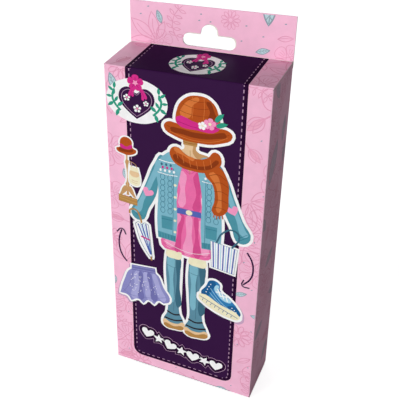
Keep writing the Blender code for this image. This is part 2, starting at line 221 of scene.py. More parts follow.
@dataclass(frozen=True)
class Finish:
    """One real material and how its surface was made: colours mixed over each other, and a relief."""

    name: str
    code: str
    slot: str
    roughness: float
    gloss: float
    coat: float = 0.0
    layers: tuple[tuple[Grain, str], ...] = ()
    relief: Grain = Grain(0.0012, detail=2)
    raised: tuple[float, float] = (0.12, 0.00004)  # share of the relief, and its height in metres

    def material(self) -> bpy.types.Material:
        """Makes the material once.

        Returns:
            The finished material.
        """
        made = bpy.data.materials.get(self.name)
        if made:
            return made
        made = bpy.data.materials.new(self.name)
        made.use_nodes = True
        tree = made.node_tree
        shader = tree.nodes["Principled BSDF"]
        plain = {"Base Color": linear(self.code), "Roughness": self.roughness, "Specular IOR Level": self.gloss,
                 "Coat Weight": self.coat, "Coat Roughness": 0.12}
        for name, value in plain.items():
            shader.inputs[name].default_value = value
        dye = Dye(tree, add_node(tree, "TexCoord").outputs["Object"])
        tree.links.new(self.paint(dye), shader.inputs["Base Color"])
        strength, depth = self.raised
        bump = add_node(tree, "Bump", {"Height": dye.noise(self.relief), "Strength": strength, "Distance": depth})
        tree.links.new(bump.outputs[0], shader.inputs["Normal"])
        return made

    def layered(self, dye: Dye, colour: Socket | str) -> Socket:
        """Mixes each layer over what is below it.

        Args:
            dye: the material's nodes.
            colour: the lowest colour.

        Returns:
            The colour with its layers.
        """
        for grain, over in self.layers:
            colour = dye.mixed(dye.noise(grain), colour, over)
        return colour

    def paint(self, dye: Dye) -> Socket:
        """Colours the surface with the layers over the finish's own colour."""
        return self.layered(dye, self.code)


@dataclass(frozen=True)
class VarnishedBoard(Finish):
    """Folding boxboard, offset printed and varnished: an even ink with 6 mm mottle, paler where creased."""

    layers: tuple[tuple[Grain, str], ...] = ((Grain(0.006, 0.3, 0.7, 0.05), "2A1030"),)
    reach: tuple[float, float] = (0.04995, 0.01925)  # metres from the middle to the folded edges

    def paint(self, dye: Dye) -> Socket:
        """Rubs the ink off along the folded edges.

        Args:
            dye: the material's nodes.

        Returns:
            The surface's colour.
        """
        axes = add_node(dye.tree, "SeparateXYZ", {0: dye.place}).outputs
        near = []
        for axis, edge in enumerate(self.reach):
            away = add_node(dye.tree, "Math", {0: axes[axis]}, operation="ABSOLUTE").outputs[0]
            near.append(dye.ranged(away, edge - 0.0008, edge - 0.0001))
        corner = add_node(dye.tree, "Math", dict(enumerate(near)), operation="MULTIPLY").outputs[0]
        scuffs = dye.noise(Grain(0.0015, 0.42, 0.66, 0.5, 0.05))
        rubbed = add_node(dye.tree, "Math", {0: corner, 1: scuffs}, operation="MULTIPLY").outputs[0]
        return dye.mixed(rubbed, self.layered(dye, self.code), "FFF4F8")


@dataclass(frozen=True)
class InkFilm(Finish):
    """Offset ink under varnish: each film's own colour with a faint screen of press dots."""

    layers: tuple[tuple[Grain, str], ...] = ((Grain(0.005, 0.35, 0.65, 0.05), "2A1030"),)
    raised: tuple[float, float] = (0.1, 0.00003)

    def paint(self, dye: Dye) -> Socket:
        """Breaks the drawn colour with dots, drawn at 0.5 mm as real ones are too fine to show.

        Args:
            dye: the material's nodes.

        Returns:
            The surface's colour.
        """
        inked = add_node(dye.tree, "Attribute", attribute_name="ink").outputs["Color"]
        dots = add_node(dye.tree, "TexVoronoi", {0: dye.place, "Scale": 2000.0}).outputs["Distance"]
        return self.layered(dye, dye.mixed(dye.ranged(dots, 0.2, 0.6, 0.05), inked, "2A1030"))


@dataclass(frozen=True)
class BareBoard(Finish):
    """The uncoated back of board: matt, clouded at 1.6 mm, with 0.4 mm flecks of recycled fibre."""

    layers: tuple[tuple[Grain, str], ...] = (
        (Grain(0.0016, 0.3, 0.7, 0.4, detail=4), "FFFDF8"),
        (Grain(0.0004, 0.66, 0.76, 0.4, detail=1, stretch=(3, 1, 1)), "7C7468"),
    )
    relief: Grain = Grain(0.0005, detail=4, stretch=(2, 1, 1))
    raised: tuple[float, float] = (0.35, 0.00006)


@dataclass(frozen=True)
class TwoFacedBoard(Finish):
    """Printed on the face that lies beyond a plane, bare on the rest: a flap of the carton."""

    layers: tuple[tuple[Grain, str], ...] = ((Grain(0.006, 0.3, 0.7, 0.06), "FFFFFF"),)
    relief: Grain = Grain(0.0006)
    raised: tuple[float, float] = (0.25, 0.00004)
    axis: int = 2
    plane: float = 0.0
    beyond: str = "GREATER_THAN"
    rim: float = 1.0  # metres from the middle to the printed fold at its hinge

    def paint(self, dye: Dye) -> Socket:
        """Splits print from bare board at the plane and clouds the bare side.

        Args:
            dye: the material's nodes.

        Returns:
            The surface's colour.
        """
        axes = add_node(dye.tree, "SeparateXYZ", {0: dye.place}).outputs
        away = add_node(dye.tree, "Math", {0: axes[0]}, operation="ABSOLUTE").outputs[0]
        hinge = add_node(dye.tree, "Math", {0: away, 1: self.rim}, operation="GREATER_THAN").outputs[0]
        faced = add_node(dye.tree, "Math", {0: axes[self.axis], 1: self.plane}, operation=self.beyond).outputs[0]
        printed = add_node(dye.tree, "Math", {0: faced, 1: hinge}, operation="MAXIMUM").outputs[0]
        bare = dye.mixed(dye.noise(Grain(0.0016, 0.3, 0.7, detail=4)), "DCD7CE", "E9E5DD")
        return dye.mixed(printed, bare, self.layered(dye, self.code))


@dataclass(frozen=True)
class BirchPly(Finish):
    """Laser-cut 3 mm birch plywood: pale upright veneer and an edge of three plies, scorched by the beam."""

    layers: tuple[tuple[Grain, str], ...] = ((Grain(0.0009, 0.3, 0.7, detail=4, stretch=(1, 1, 26)), "EAD3A6"),)
    relief: Grain = Grain(0.0009, 0.3, 0.7, detail=4, stretch=(1, 1, 26))
    raised: tuple[float, float] = (0.2, 0.00006)
    middle: float = -0.0049
    half: float = 0.0015

    def paint(self, dye: Dye) -> Socket:
        """Shows the plies across y and browns what isn't an outer face.

        Args:
            dye: the material's nodes.

        Returns:
            The surface's colour.
        """
        back = add_node(dye.tree, "SeparateXYZ", {0: dye.place}).outputs[1]
        off = add_node(dye.tree, "Math", {0: back, 1: self.middle}, operation="SUBTRACT").outputs[0]
        away = add_node(dye.tree, "Math", {0: off}, operation="ABSOLUTE").outputs[0]
        edge = dye.mixed(dye.ranged(away, 0.00045, 0.00055), "5A3418", "8A5A2C")
        face = dye.ranged(away, self.half - 0.00008, self.half - 0.00002)
        return dye.mixed(face, edge, self.layered(dye, self.code))


@dataclass(frozen=True)
class MagnetVinyl(Finish):
    """Flexible magnet faced with satin vinyl: a 0.12 mm film in front, dark ferrite rubber behind it."""

    layers: tuple[tuple[Grain, str], ...] = ((Grain(0.008, 0.3, 0.7, 0.08), "D9DCE2"),)
    relief: Grain = Grain(0.002, detail=2)
    raised: tuple[float, float] = (0.15, 0.00005)
    front: float = 0.0062

    def paint(self, dye: Dye) -> Socket:
        """Colours the film, and the rubber behind it with ferrite specks.

        Args:
            dye: the material's nodes.

        Returns:
            The surface's colour.
        """
        back = add_node(dye.tree, "SeparateXYZ", {0: dye.place}).outputs[1]
        behind = dye.ranged(back, self.front + 0.00012, self.front + 0.00016)
        rubber = dye.mixed(dye.noise(Grain(0.0005, 0.4, 0.7)), "3A2B24", "57463C")
        return dye.mixed(behind, self.layered(dye, self.code), rubber)


BLUSH_BOARD = VarnishedBoard("boxboard_blush_varnished", Ink.BLUSH.value, "printed_board", 0.45, 0.08)
LID_BOARD = VarnishedBoard("boxboard_lid_varnished", Ink.BLUSH.value, "printed_lid", 0.45, 0.03)
LID_PLUM = VarnishedBoard("boxboard_plum_varnished", Ink.PLUM.value, "printed_lid", 0.5, 0.005)
LID_PLUM_DARK = VarnishedBoard("boxboard_dark_plum_varnished", Ink.PLUM_DARK.value, "printed_lid", 0.5, 0.005)
CREASE = VarnishedBoard("boxboard_crease_varnished", "F0B9D1", "printed_board", 0.5, 0.3)
INK = InkFilm("offset_ink_varnished", "FFFFFF", "printed_board", 0.45, 0.05)
LID_INK = InkFilm("offset_ink_lid_varnished", "FFFFFF", "printed_lid", 0.5, 0.005)
GARMENT_INK = InkFilm("screen_ink_on_vinyl", "FFFFFF", "garment_print", 0.4, 0.2)
STEEL_INK = InkFilm("litho_ink_on_steel", "FFFFFF", "steel_face", 0.35, 0.2)
GREY_BACK = BareBoard("boxboard_uncoated_back", "DCD7CD", "bare_board", 0.9, 0.2)
CARD = BareBoard("white_lined_card", "E9E5DB", "fitment_card", 0.85, 0.2)
DUST_TOP = TwoFacedBoard("dust_flap_board_top", Ink.BLUSH.value, "printed_board", 0.6, 0.3, plane=0.23015, rim=0.04995)
DUST_BOTTOM = TwoFacedBoard("dust_flap_board_bottom", Ink.BLUSH.value, "printed_board", 0.6, 0.3,
                            plane=0.00085, beyond="LESS_THAN", rim=0.04995)
TUCK = TwoFacedBoard("tuck_flap_board", Ink.BLUSH.value, "printed_lid", 0.6, 0.3, axis=1, plane=0.0156)
SHEET_VINYL = MagnetVinyl("magnet_sheet_white_vinyl", "F2F3F5", "magnet_sheet", 0.42, 0.4)
GARMENT_VINYL = MagnetVinyl("magnet_garment_white_vinyl", "FAFAFA", "garment_print", 0.38, 0.4)
BIRCH = BirchPly("birch_plywood_laser_cut", "D9BC8A", "plywood", 0.62, 0.35)

# A die-cut edge shows pressed plies of pulp, a little furry, as streaks along it.
PLIES = Grain(0.0002, 0.35, 0.65, detail=2, stretch=(6, 6, 1))
EDGE = Finish("boxboard_die_cut_edge", "D9D2C6", "printed_board", 0.9, 0.2, layers=((PLIES, "FFFFFF"),),
              relief=PLIES, raised=(0.4, 0.00004))
# Sanded beech is warm and straw coloured, with 1.2 mm growth lines along x and short 0.3 mm ray flecks.
GROWTH = Grain(0.0012, 0.35, 0.65, detail=4, stretch=(30, 1, 1))
RAYS = Grain(0.0003, 0.60, 0.72, 0.6, detail=2, stretch=(8, 1, 1))
BEECH = Finish("beech_sanded", "C9A06A", "beech", 0.6, 0.35, layers=((GROWTH, "D9B27C"), (RAYS, "8F6233")),
               relief=GROWTH, raised=(0.2, 0.00008))
# Thin steel sheet, roller enamelled, is smooth and glossy, with a slight 12 mm wave from rolling.
STEEL = Finish("steel_sheet_enamelled", Ink.SKIN.value, "steel_face", 0.32, 0.3, 0.1,
               layers=((Grain(0.004, 0.3, 0.7, 0.12), "FFFFFF"),), relief=Grain(0.012, detail=1), raised=(0.2, 0.0002))


class Bench:
    """The modelling moves that every piece shares."""

    @staticmethod
    def only(*pieces: Piece) -> None:
        """Selects these pieces alone, in object mode, the first one active.

        Args:
            pieces: what to select, or nothing.
        """
        if bpy.context.mode != "OBJECT":
            bpy.ops.object.mode_set(mode="OBJECT")
        bpy.ops.object.select_all(action="DESELECT")
        for piece in pieces:
            piece.select_set(True)
        bpy.context.view_layer.objects.active = pieces[0] if pieces else None

    @staticmethod
    def settle() -> None:
        """Applies the place, turn and size of what is selected."""
        bpy.ops.object.transform_apply(location=True, rotation=True, scale=True)

    @staticmethod
    def start(name: str, add: Callable, middle: Place, size: Place = (1, 1, 1), unit: float = MM,
              finishes: Iterable[Finish] = (), **settings) -> Piece:
        """Adds a primitive and applies its place.

        Args:
            name: the new piece's name.
            add: the primitive's operator.
            middle: its middle, in millimetres.
            size: its sizes in units.
            unit: one unit in metres.
            finishes: its finishes by material index.
            settings: what else the operator takes.

        Returns:
            The new piece.
        """
        Bench.only()
        add(size=unit, location=[v * MM for v in middle], **settings)
        piece = bpy.context.object
        piece.name = piece.data.name = name
        for finish in finishes:
            piece.data.materials.append(finish.material())
        piece.scale = size
        Bench.settle()
        return piece

    @staticmethod
    def pick(piece: Piece, kind: str, test: Callable[[Vector, Vector], bool]) -> None:
        """Selects mesh parts by their place, in edit mode.

        Args:
            piece: the mesh piece.
            kind: VERT, EDGE or FACE.
            test: takes a part's middle in millimetres and its normal, or an edge's direction.
        """
        if piece.mode != "EDIT":
            Bench.only(piece)
            bpy.ops.object.mode_set(mode="EDIT")
        bpy.ops.mesh.select_mode(type=kind)
        bpy.ops.mesh.select_all(action="DESELECT")
        mesh = bmesh.from_edit_mesh(piece.data)
        for part in {"VERT": mesh.verts, "EDGE": mesh.edges, "FACE": mesh.faces}[kind]:
            if kind == "VERT":
                middle, way = part.co, part.normal
            elif kind == "EDGE":
                ends = [v.co for v in part.verts]
                middle, way = (ends[0] + ends[1]) / 2, (ends[1] - ends[0]).normalized()
            else:
                middle, way = part.calc_center_median(), part.normal
            if test(middle / MM, way):
                part.select_set(True)
        mesh.select_flush_mode()
        bmesh.update_edit_mesh(piece.data)

    @staticmethod
    def fold(path: Path, along: str = "x", up: int = 1) -> None:
        """Extrudes what is selected along a path in the plane across a crease.

        Args:
            path: its points as across and z, in millimetres.
            along: x or y, the crease's direction.
            up: 1, or -1 where z runs down.
        """
        for (a, z, *_), (next_a, next_z, *_) in zip(path, path[1:]):
            across, rise = (next_a - a) * MM, up * (next_z - z) * MM
            move = (0, across, rise) if along == "x" else (across, 0, rise)
            bpy.ops.mesh.extrude_region_move(TRANSFORM_OT_translate={"value": move})

    @staticmethod
    def modify(piece: Piece, kind: str, **settings) -> None:
        """Adds a modifier of a kind with its settings, and applies it.

        Args:
            piece: the piece that it works on.
            kind: the modifier's type.
            settings: its own properties.
        """
        Bench.only(piece)
        step = piece.modifiers.new(kind.title(), kind)
        for name, value in settings.items():
            setattr(step, name, value)
        bpy.ops.object.modifier_apply(modifier=step.name)

    @staticmethod
    def thicken(piece: Piece, wall: float, offset: int = 0, **settings) -> None:
        """Gives a sheet its wall in millimetres, to one side of it (-1 or 1) or to both (0)."""
        Bench.modify(piece, "SOLIDIFY", thickness=wall * MM, offset=offset, use_even_offset=True, **settings)

    @staticmethod
    def close(piece: Piece, reach: float = 5e-7) -> None:
        """Merges doubles and turns every face outwards.

        Args:
            piece: the mesh piece.
            reach: how far apart doubles may be, in metres.
        """
        Bench.only(piece)
        bpy.ops.object.mode_set(mode="EDIT")
        bpy.ops.mesh.select_all(action="SELECT")
        bpy.ops.mesh.remove_doubles(threshold=reach)
        bpy.ops.mesh.normals_make_consistent(inside=False)
        Bench.only(piece)

    @staticmethod
    def tint(piece: Piece, ink: Ink) -> None:
        """Keeps a film's ink as a colour on its mesh."""
        colours = piece.data.color_attributes.new("ink", "FLOAT_COLOR", "CORNER")
        colours.data.foreach_set("color", list(linear(ink.value)) * len(piece.data.loops))

    @staticmethod
    def finish(piece: Piece, body: str, *finishes: Finish, smooth: float = 0.0, replaces: Iterable[str] = ()) -> None:
        """Dresses a piece and gives it to its body.

        Args:
            piece: the finished mesh.
            body: the CAD body that carries it.
            finishes: one for each material index, in order.
            smooth: shade smooth below this angle in degrees, or 0 for flat.
            replaces: CAD nodes that it stands for.
        """
        Bench.only(piece)
        if smooth:
            bpy.ops.object.shade_smooth_by_angle(angle=math.radians(smooth))
        if not piece.data.materials:
            piece.data.materials.append(finishes[0].material())
        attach(piece, body)
        if replaces:
            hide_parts(*replaces)
        LOG.info("%s: %d faces on %s", piece.name, len(piece.data.polygons), body)


def drawn(text: str) -> Path:
    """Reads drawn points.

    Args:
        text: "across,up" pairs in millimetres, with ! after a sharp corner.

    Returns:
        Points with their sharpness.
    """
    pairs = [(word.rstrip("!").split(","), word.endswith("!")) for word in text.split()]
    return [(float(across), float(up), sharp) for (across, up), sharp in pairs]


def moved(path: Path, across: float = 0.0, up: float = 0.0, turn: float = 0.0, wide: float = 1.0,
          tall: float | None = None) -> Path:
    """Scales, turns and moves an outline.

    Args:
        path: its points.
        across: the way across.
        up: the way up.
        turn: degrees anticlockwise.
        wide: its scale across.
        tall: its scale up, where it is another.

    Returns:
        The new points.
    """
    cosine, sine = math.cos(math.radians(turn)), math.sin(math.radians(turn))
    scaled = [(x * wide, y * (wide if tall is None else tall), sharp) for x, y, sharp in path]
    return [(across + x * cosine - y * sine, up + x * sine + y * cosine, sharp) for x, y, sharp in scaled]


def mirrored(path: Path, about: float = 0.0) -> Path:
    """The same outline on the other side of an upright line."""
    return moved(path[::-1], 2 * about, 0, 0, -1, 1)


def oval(across: float, up: float, wide: float, tall: float, turn: float = 0.0, count: int = 8) -> Path:
    """An ellipse round a centre, drawn with smooth points: half its width and height, degrees, and how many."""
    angles = [2 * math.pi * step / count for step in range(count)]
    return moved([(math.cos(a), math.sin(a), False) for a in angles], across, up, turn, wide, tall)


def petal(base: float, length: float, wide: float, turn: float, pointed: bool = False) -> Path:
    """One petal's outline.

    Args:
        base: how far its foot is from the centre.
        length: its length.
        wide: its width.
        turn: degrees round the centre.
        pointed: whether its tip is sharp.

    Returns:
        The closed outline.
    """
    belly = (0.7, 0.35) if pointed else (0.75, 0.5)
    half = [(0.4, 0.425, False), (*belly, False)]
    shape = [(0, 0, True), *half, (1, 0, pointed), *[(a, -b, c) for a, b, c in half[::-1]]]
    return moved([(base + a * length, b * wide, c) for a, b, c in shape], turn=turn)


def flower(base: float, length: float, wide: float, start: float = 0.0, count: int = 5) -> list[Path]:
    """A ring of round petals, the first one at some degrees."""
    return [petal(base, length, wide, start + 360 / count * i) for i in range(count)]


@dataclass
class Stroke:
    """One film of ink: a filled outline, or a line where it has a width."""

    ink: Ink
    level: float
    paths: list[Path]
    width: float = 0.0
    closed: bool = True

    def stand(self) -> Matrix:
        """How high over its face the film lies, and how flat a line is pressed.

        Returns:
            The matrix from the curve to the drawing.
        """
        if not self.width:
            return Matrix.Translation((0, 0, FILM * (self.level - 1)))
        pressed = 0.8 * FILM / self.width
        return Matrix.Translation((0, 0, FILM * (self.level + 0.5))) @ Matrix.Diagonal((1, 1, pressed, 1))


@dataclass
class Artwork:
    """Flat artwork in millimetres across and up."""

    strokes: list[Stroke] = field(default_factory=list)

    def fill(self, ink: Ink, level: float, *outlines: Path) -> None:
        """Fills each outline with an ink at a level."""
        self.strokes += [Stroke(ink, level, [outline]) for outline in outlines]

    def line(self, ink: Ink, level: float, width: float, *paths: Path, closed: bool = False) -> None:
        """Draws lines of one width, open or closed."""
        self.strokes.append(Stroke(ink, level, list(paths), width, closed))

    def border(self, level: float, width: float, *outlines: Path, ink: Ink = Ink.WHITE) -> None:
        """Lays each outline filled and widened: the unprinted border of a die-cut piece, or its cast shade.

        Args:
            level: its level.
            width: how far it stands out, in millimetres.
            outlines: the parts of the piece.
            ink: its ink, white for bare board.
        """
        for outline in outlines:
            self.fill(ink, level, outline)
            self.line(ink, level, 2 * width, outline, closed=True)

    def draw(self, text: str, about: float = 0.0, **known: list[Path]) -> "Artwork":
        """Draws what a text says, one film of ink in a row.

        Args:
            text: rows of ink or border, level, width of a line (~) or loop (@), & to mirror it, and then
                outlines, or the names of some, parted by /. A row with = only names an outline, and a row
                that starts with a blank goes on from the last.
            about: where the mirror stands.
            known: outlines that are worked out elsewhere, by their names.

        Returns:
            This drawing.
        """
        for row in dedent(text).strip().replace("\n ", " ").split("\n"):
            head, *words = row.split()
            if words[0] == "=":
                known[head] = [drawn(" ".join(words[1:]))]
                continue
            level, way = float(words.pop(0)), words.pop(0) if words[0][0] in "~@" else ""
            both = words[0] == "&" and bool(words.pop(0))
            paths = [path for part in " ".join(words).split(" / ") for path in known.get(part) or [drawn(part)]]
            if both:
                paths = [twin for path in paths for twin in (path, mirrored(path, about))]
            if head == "border":
                self.border(level, float(way[1:]), *paths)
            elif way:
                self.line(Ink[head], level, float(way[1:]), *paths, closed=way[0] == "@")
            else:
                self.fill(Ink[head], level, *paths)
        return self

    def merged(self) -> list[Stroke]:
        """Puts lines of one ink, level and width on one curve, and keeps fills of one level apart.

        Returns:
            The strokes to lay.
        """
        kept: list[Stroke] = []
        lines: dict[tuple, Stroke] = {}
        for stroke in self.strokes:
            key = (stroke.ink, stroke.level, round(stroke.width, 3), stroke.closed)
            if not stroke.width:
                kept.append(Stroke(stroke.ink, stroke.level + STAGGER * (len(kept) % 16), stroke.paths))
            elif key in lines:
                lines[key].paths.extend(stroke.paths)
            else:
                lines[key] = Stroke(stroke.ink, stroke.level, list(stroke.paths), stroke.width, stroke.closed)
                kept.append(lines[key])
        return kept

    def stamp(self, other: "Artwork", across: float = 0.0, up: float = 0.0, turn: float = 0.0, wide: float = 1.0,
              tall: float | None = None, lift: float = 0.0) -> None:
        """Copies another drawing into this one.

        Args:
            other: the drawing to copy.
            across: where its zero goes across.
            up: where its zero goes up.
            turn: degrees anticlockwise.
            wide: its scale across.
            tall: its scale up, where it is another; lines then keep their width.
            lift: levels added to its own.
        """
        for stroke in other.strokes:
            paths = [moved(path, across, up, turn, wide, tall) for path in stroke.paths]
            width = stroke.width * (wide if tall is None else 1)
            self.strokes.append(Stroke(stroke.ink, stroke.level + lift, paths, width, stroke.closed))


@dataclass
class Print:
    """Artwork laid on one face of a panel."""

    name: str
    side: Side
    origin: Place  # mm, where the artwork's zero lies
    finish: Finish = INK
    body: str = ""
    steps: int = 4
    depth: float = FILM

    def place(self) -> Matrix:
        """The matrix from the drawing's millimetres to the face.

        Returns:
            The matrix, in metres.
        """
        across, up = Vector(self.side.value[0]), Vector(self.side.value[1])
        turned = Matrix((across, up, across.cross(up))).transposed().to_4x4()
        return Matrix.Translation(Vector(self.origin) * MM) @ turned @ Matrix.Scale(MM, 4)

    def curve(self, stroke: Stroke, pen: Piece) -> Piece:
        """Draws one stroke as a curve.

        Args:
            stroke: what to draw.
            pen: a curve to copy.

        Returns:
            The curve.
        """
        piece = pen.copy()
        curve = piece.data = pen.data.copy()
        bpy.context.scene.collection.objects.link(piece)
        curve.splines.clear()
        curve.resolution_u = self.steps
        if stroke.width:
            curve.dimensions = "3D"
            curve.bevel_depth = stroke.width / 2
            curve.bevel_resolution = 0
            curve.use_fill_caps = True
        else:
            curve.dimensions = "2D"
            curve.fill_mode = "BOTH"
            curve.extrude = self.depth
        for path in stroke.paths:
            spline = curve.splines.new("BEZIER")
            spline.bezier_points.add(len(path) - 1)
            for point, (across, up, sharp) in zip(spline.bezier_points, path):
                point.co = (across, up, 0)
                point.handle_left_type = point.handle_right_type = "VECTOR" if sharp else "AUTO"
            spline.use_cyclic_u = stroke.closed
        return piece

    def films(self, strokes: list[Stroke]) -> list[Piece]:
        """Makes each stroke a mesh in its place on the face.

        Args:
            strokes: what to draw.

        Returns:
            One mesh for each, all selected.
        """
        Bench.only()
        bpy.ops.curve.primitive_bezier_curve_add()
        pen = bpy.context.object
        made = [self.curve(stroke, pen) for stroke in strokes]
        Bench.only(pen)
        bpy.ops.object.delete()
        Bench.only(*made)
        bpy.ops.object.convert(target="MESH")
        for film, stroke in zip(made, strokes):
            film.matrix_world = self.place() @ stroke.stand()
        Bench.settle()
        return made

    def lay(self, art: Artwork, low: Corner | None = None, high: Corner | None = None,
            base: Piece | None = None) -> None:
        """Makes the artwork a mesh on its face.

        Args:
            art: the drawing.
            low: lowest corner that is kept, in the drawing's millimetres.
            high: highest corner that is kept.
            base: a film under the drawing, which becomes part of it.
        """
        strokes = art.merged()
        films = self.films(strokes)
        for film, stroke in zip(films, strokes):
            Bench.tint(film, stroke.ink)
        bpy.ops.object.join()
        piece = bpy.context.object
        piece.name = piece.data.name = self.name
        if base:
            Bench.only(piece, base)
            bpy.ops.object.join()
        Bench.close(piece)
        if low and high:
            self.trim(piece, low, high)
        bpy.ops.object.shade_flat()
        Bench.finish(piece, self.body or self.side.value[2], self.finish)

    def trim(self, piece: Piece, low: Corner, high: Corner) -> None:
        """Cuts off what runs past the face's lowest and highest corners.

        Args:
            piece: the print, which is selected.
            low: lowest corner kept.
            high: highest corner kept.
        """
        place = self.place()
        bpy.ops.object.mode_set(mode="EDIT")
        for corner, way in ((low, (-1, 0, 0)), (low, (0, -1, 0)), (high, (1, 0, 0)), (high, (0, 1, 0))):
            bpy.ops.mesh.select_all(action="SELECT")
            bpy.ops.mesh.bisect(
                plane_co=place @ Vector((*corner, 0)), plane_no=place.to_3x3().normalized() @ Vector(way),
                use_fill=True, clear_outer=True,
            )
        Bench.only(piece)


class Bloom(Enum):
    """The line motifs of the pink ground."""

    DAISY = 0
    PEONY = 1
    LILY = 2
    SPRAY = 3
    LEAFLET = 4
    BUD = 5


@dataclass
class Ground:
    """The pink ground: line flowers, tinted leaves and small ticks strewn over a face."""

    seed: int = 5
    pitch: float = 20.0
    weight: float = 0.46
    leaf_size: float = 1.0
    tints: tuple[Ink, Ink] = (Ink.LEAF, Ink.LEAF_LINE)  # a leaf and its lines
    ORDER = (Bloom.PEONY, Bloom.BUD, Bloom.DAISY, Bloom.LILY, Bloom.LEAFLET, Bloom.PEONY, Bloom.SPRAY)

    @staticmethod
    def ray(start: float, end: float, turn: float, bend: float = 0.0) -> Path:
        """A line out from the centre, bent sideways in its middle."""
        return moved([(start, 0, False), ((start + end) / 2, bend, False), (end, 0, False)], turn=turn)

    def bloom(self, kind: Bloom) -> Artwork:
        """Draws one motif.

        Args:
            kind: which.

        Returns:
            Its line drawing.
        """
        art = Artwork()
        loops, rays, text = [], [], ""
        if kind is Bloom.DAISY:
            loops = [*flower(1.9, 5.2, 2.3, count=11), oval(0, 0, 1.7, 1.7, count=6)]
        elif kind is Bloom.PEONY:
            loops = [*flower(2.0, 9.5, 9.5), oval(0, 0, 1.8, 1.8, count=6)]
            rays = [self.ray(4, 8.5, 72 * i + off, off * 0.04) for i in range(5) for off in (-12, 0, 12)]
        elif kind is Bloom.LILY:
            sizes = ((17, 90), (15, 48), (15, 132), (11, 15), (11, 165))
            loops = [petal(1.0, size, size * 0.42, turn, True) for size, turn in sizes]
            rays = [self.ray(3, size, turn, 0.6) for size, turn in ((14, 90), (12, 48), (12, 132))]
        elif kind is Bloom.SPRAY:
            text = f"ROSE_LINE 1 ~{self.weight} -11,-4 -5,0 1,1 7,-1 12,-5"
            for index, (x, y) in enumerate(((-8, -2), (-4, 0.5), (0, 1), (4, 0.2), (8, -1.8))):
                for turn in (70 - index * 9, -80 - index * 6):
                    loops.append(moved(petal(0.4, 4.6, 1.9, turn, True), x, y))
        elif kind is Bloom.BUD:
            cup = ((9, 4.4, 76), (9, 4.4, 104), (10, 4, 90))
            loops = [petal(1, size, wide, turn, True) for size, wide, turn in cup]
            art.fill(Ink.ROSE_TINT, 1, loops[2])
            loops += [moved(petal(0.6, 7, 2.8, turn, True), 0, -7.6) for turn in (-20, 205)]
        else:
            loops, rays = [petal(0, 9, 3.6, 0, True)], [self.ray(0, 8, 0, 0.3)]
        if text:
            art.draw(text)
        art.line(Ink.ROSE_LINE, 1, self.weight, *loops, closed=True)
        if rays:
            art.line(Ink.ROSE_LINE, 1, self.weight * 0.8, *rays)
        if kind is Bloom.BUD:
            art.line(Ink.ROSE_LINE, 1, self.weight * 1.5, drawn("0,1 -0.3,-3 0,-7.6 -1.4,-12"))
        return art

    def leaf(self) -> Artwork:
        """A tinted leaf with its outline, rib and veins.

        Returns:
            The leaf, along its own line across.
        """
        tint, vein = self.tints
        outline = petal(-4.2, 8.4, 3.8, 0, True)
        veins = [drawn(f"{x},0 {x + 1.2},{y}") for x in (-2, -0.2, 1.4) for y in (0.9, -0.9)]
        rows = f"{tint.name} 2 outline\n{vein.name} 3 @0.42 outline\n{vein.name} 3 ~0.26 -4.2,0 0,0.25 3.6,0 / veins"
        return Artwork().draw(rows, outline=[outline], veins=veins)

    def strew(self, low: Corner, high: Corner, skip: Callable[[float, float], bool], leaves: bool = True) -> Artwork:
        """Strews motifs over a face.

        Args:
            low: the face's lowest corner.
            high: its highest corner.
            skip: tells which places are covered by something else.
            leaves: whether tinted leaves are among them.

        Returns:
            The ground's artwork.
        """
        chance = random.Random(self.seed)
        art = Artwork()
        motifs = {kind: self.bloom(kind) for kind in Bloom}
        wide, tall = high[0] - low[0], high[1] - low[1]
        rows = max(1, round(tall / (self.pitch * 0.87)))
        columns = max(1, round(wide / self.pitch))
        spots = [(row, column) for row in range(rows + 1) for column in range(columns + 1)]
        for index, (row, column) in enumerate(spots, 1):
            x = low[0] + (column + (0.5 if row % 2 else 0.0)) * wide / columns + chance.uniform(-2, 2)
            y = low[1] + row * tall / rows + chance.uniform(-2, 2)
            turn, size = chance.uniform(0, 360), chance.uniform(0.9, 1.3)
            tick = (x + chance.uniform(6, 9), y + chance.uniform(5, 8))
            if not skip(x, y):
                if leaves and index % 5 == 0:
                    art.stamp(self.leaf(), x, y, turn, self.leaf_size)
                else:
                    art.stamp(motifs[self.ORDER[index % len(self.ORDER)]], x, y, turn, size)
            if leaves and index % 2 and not skip(*tick):
                art.fill(self.tints[1], 2, oval(*tick, 0.55, 0.32, turn, count=4))
        return art


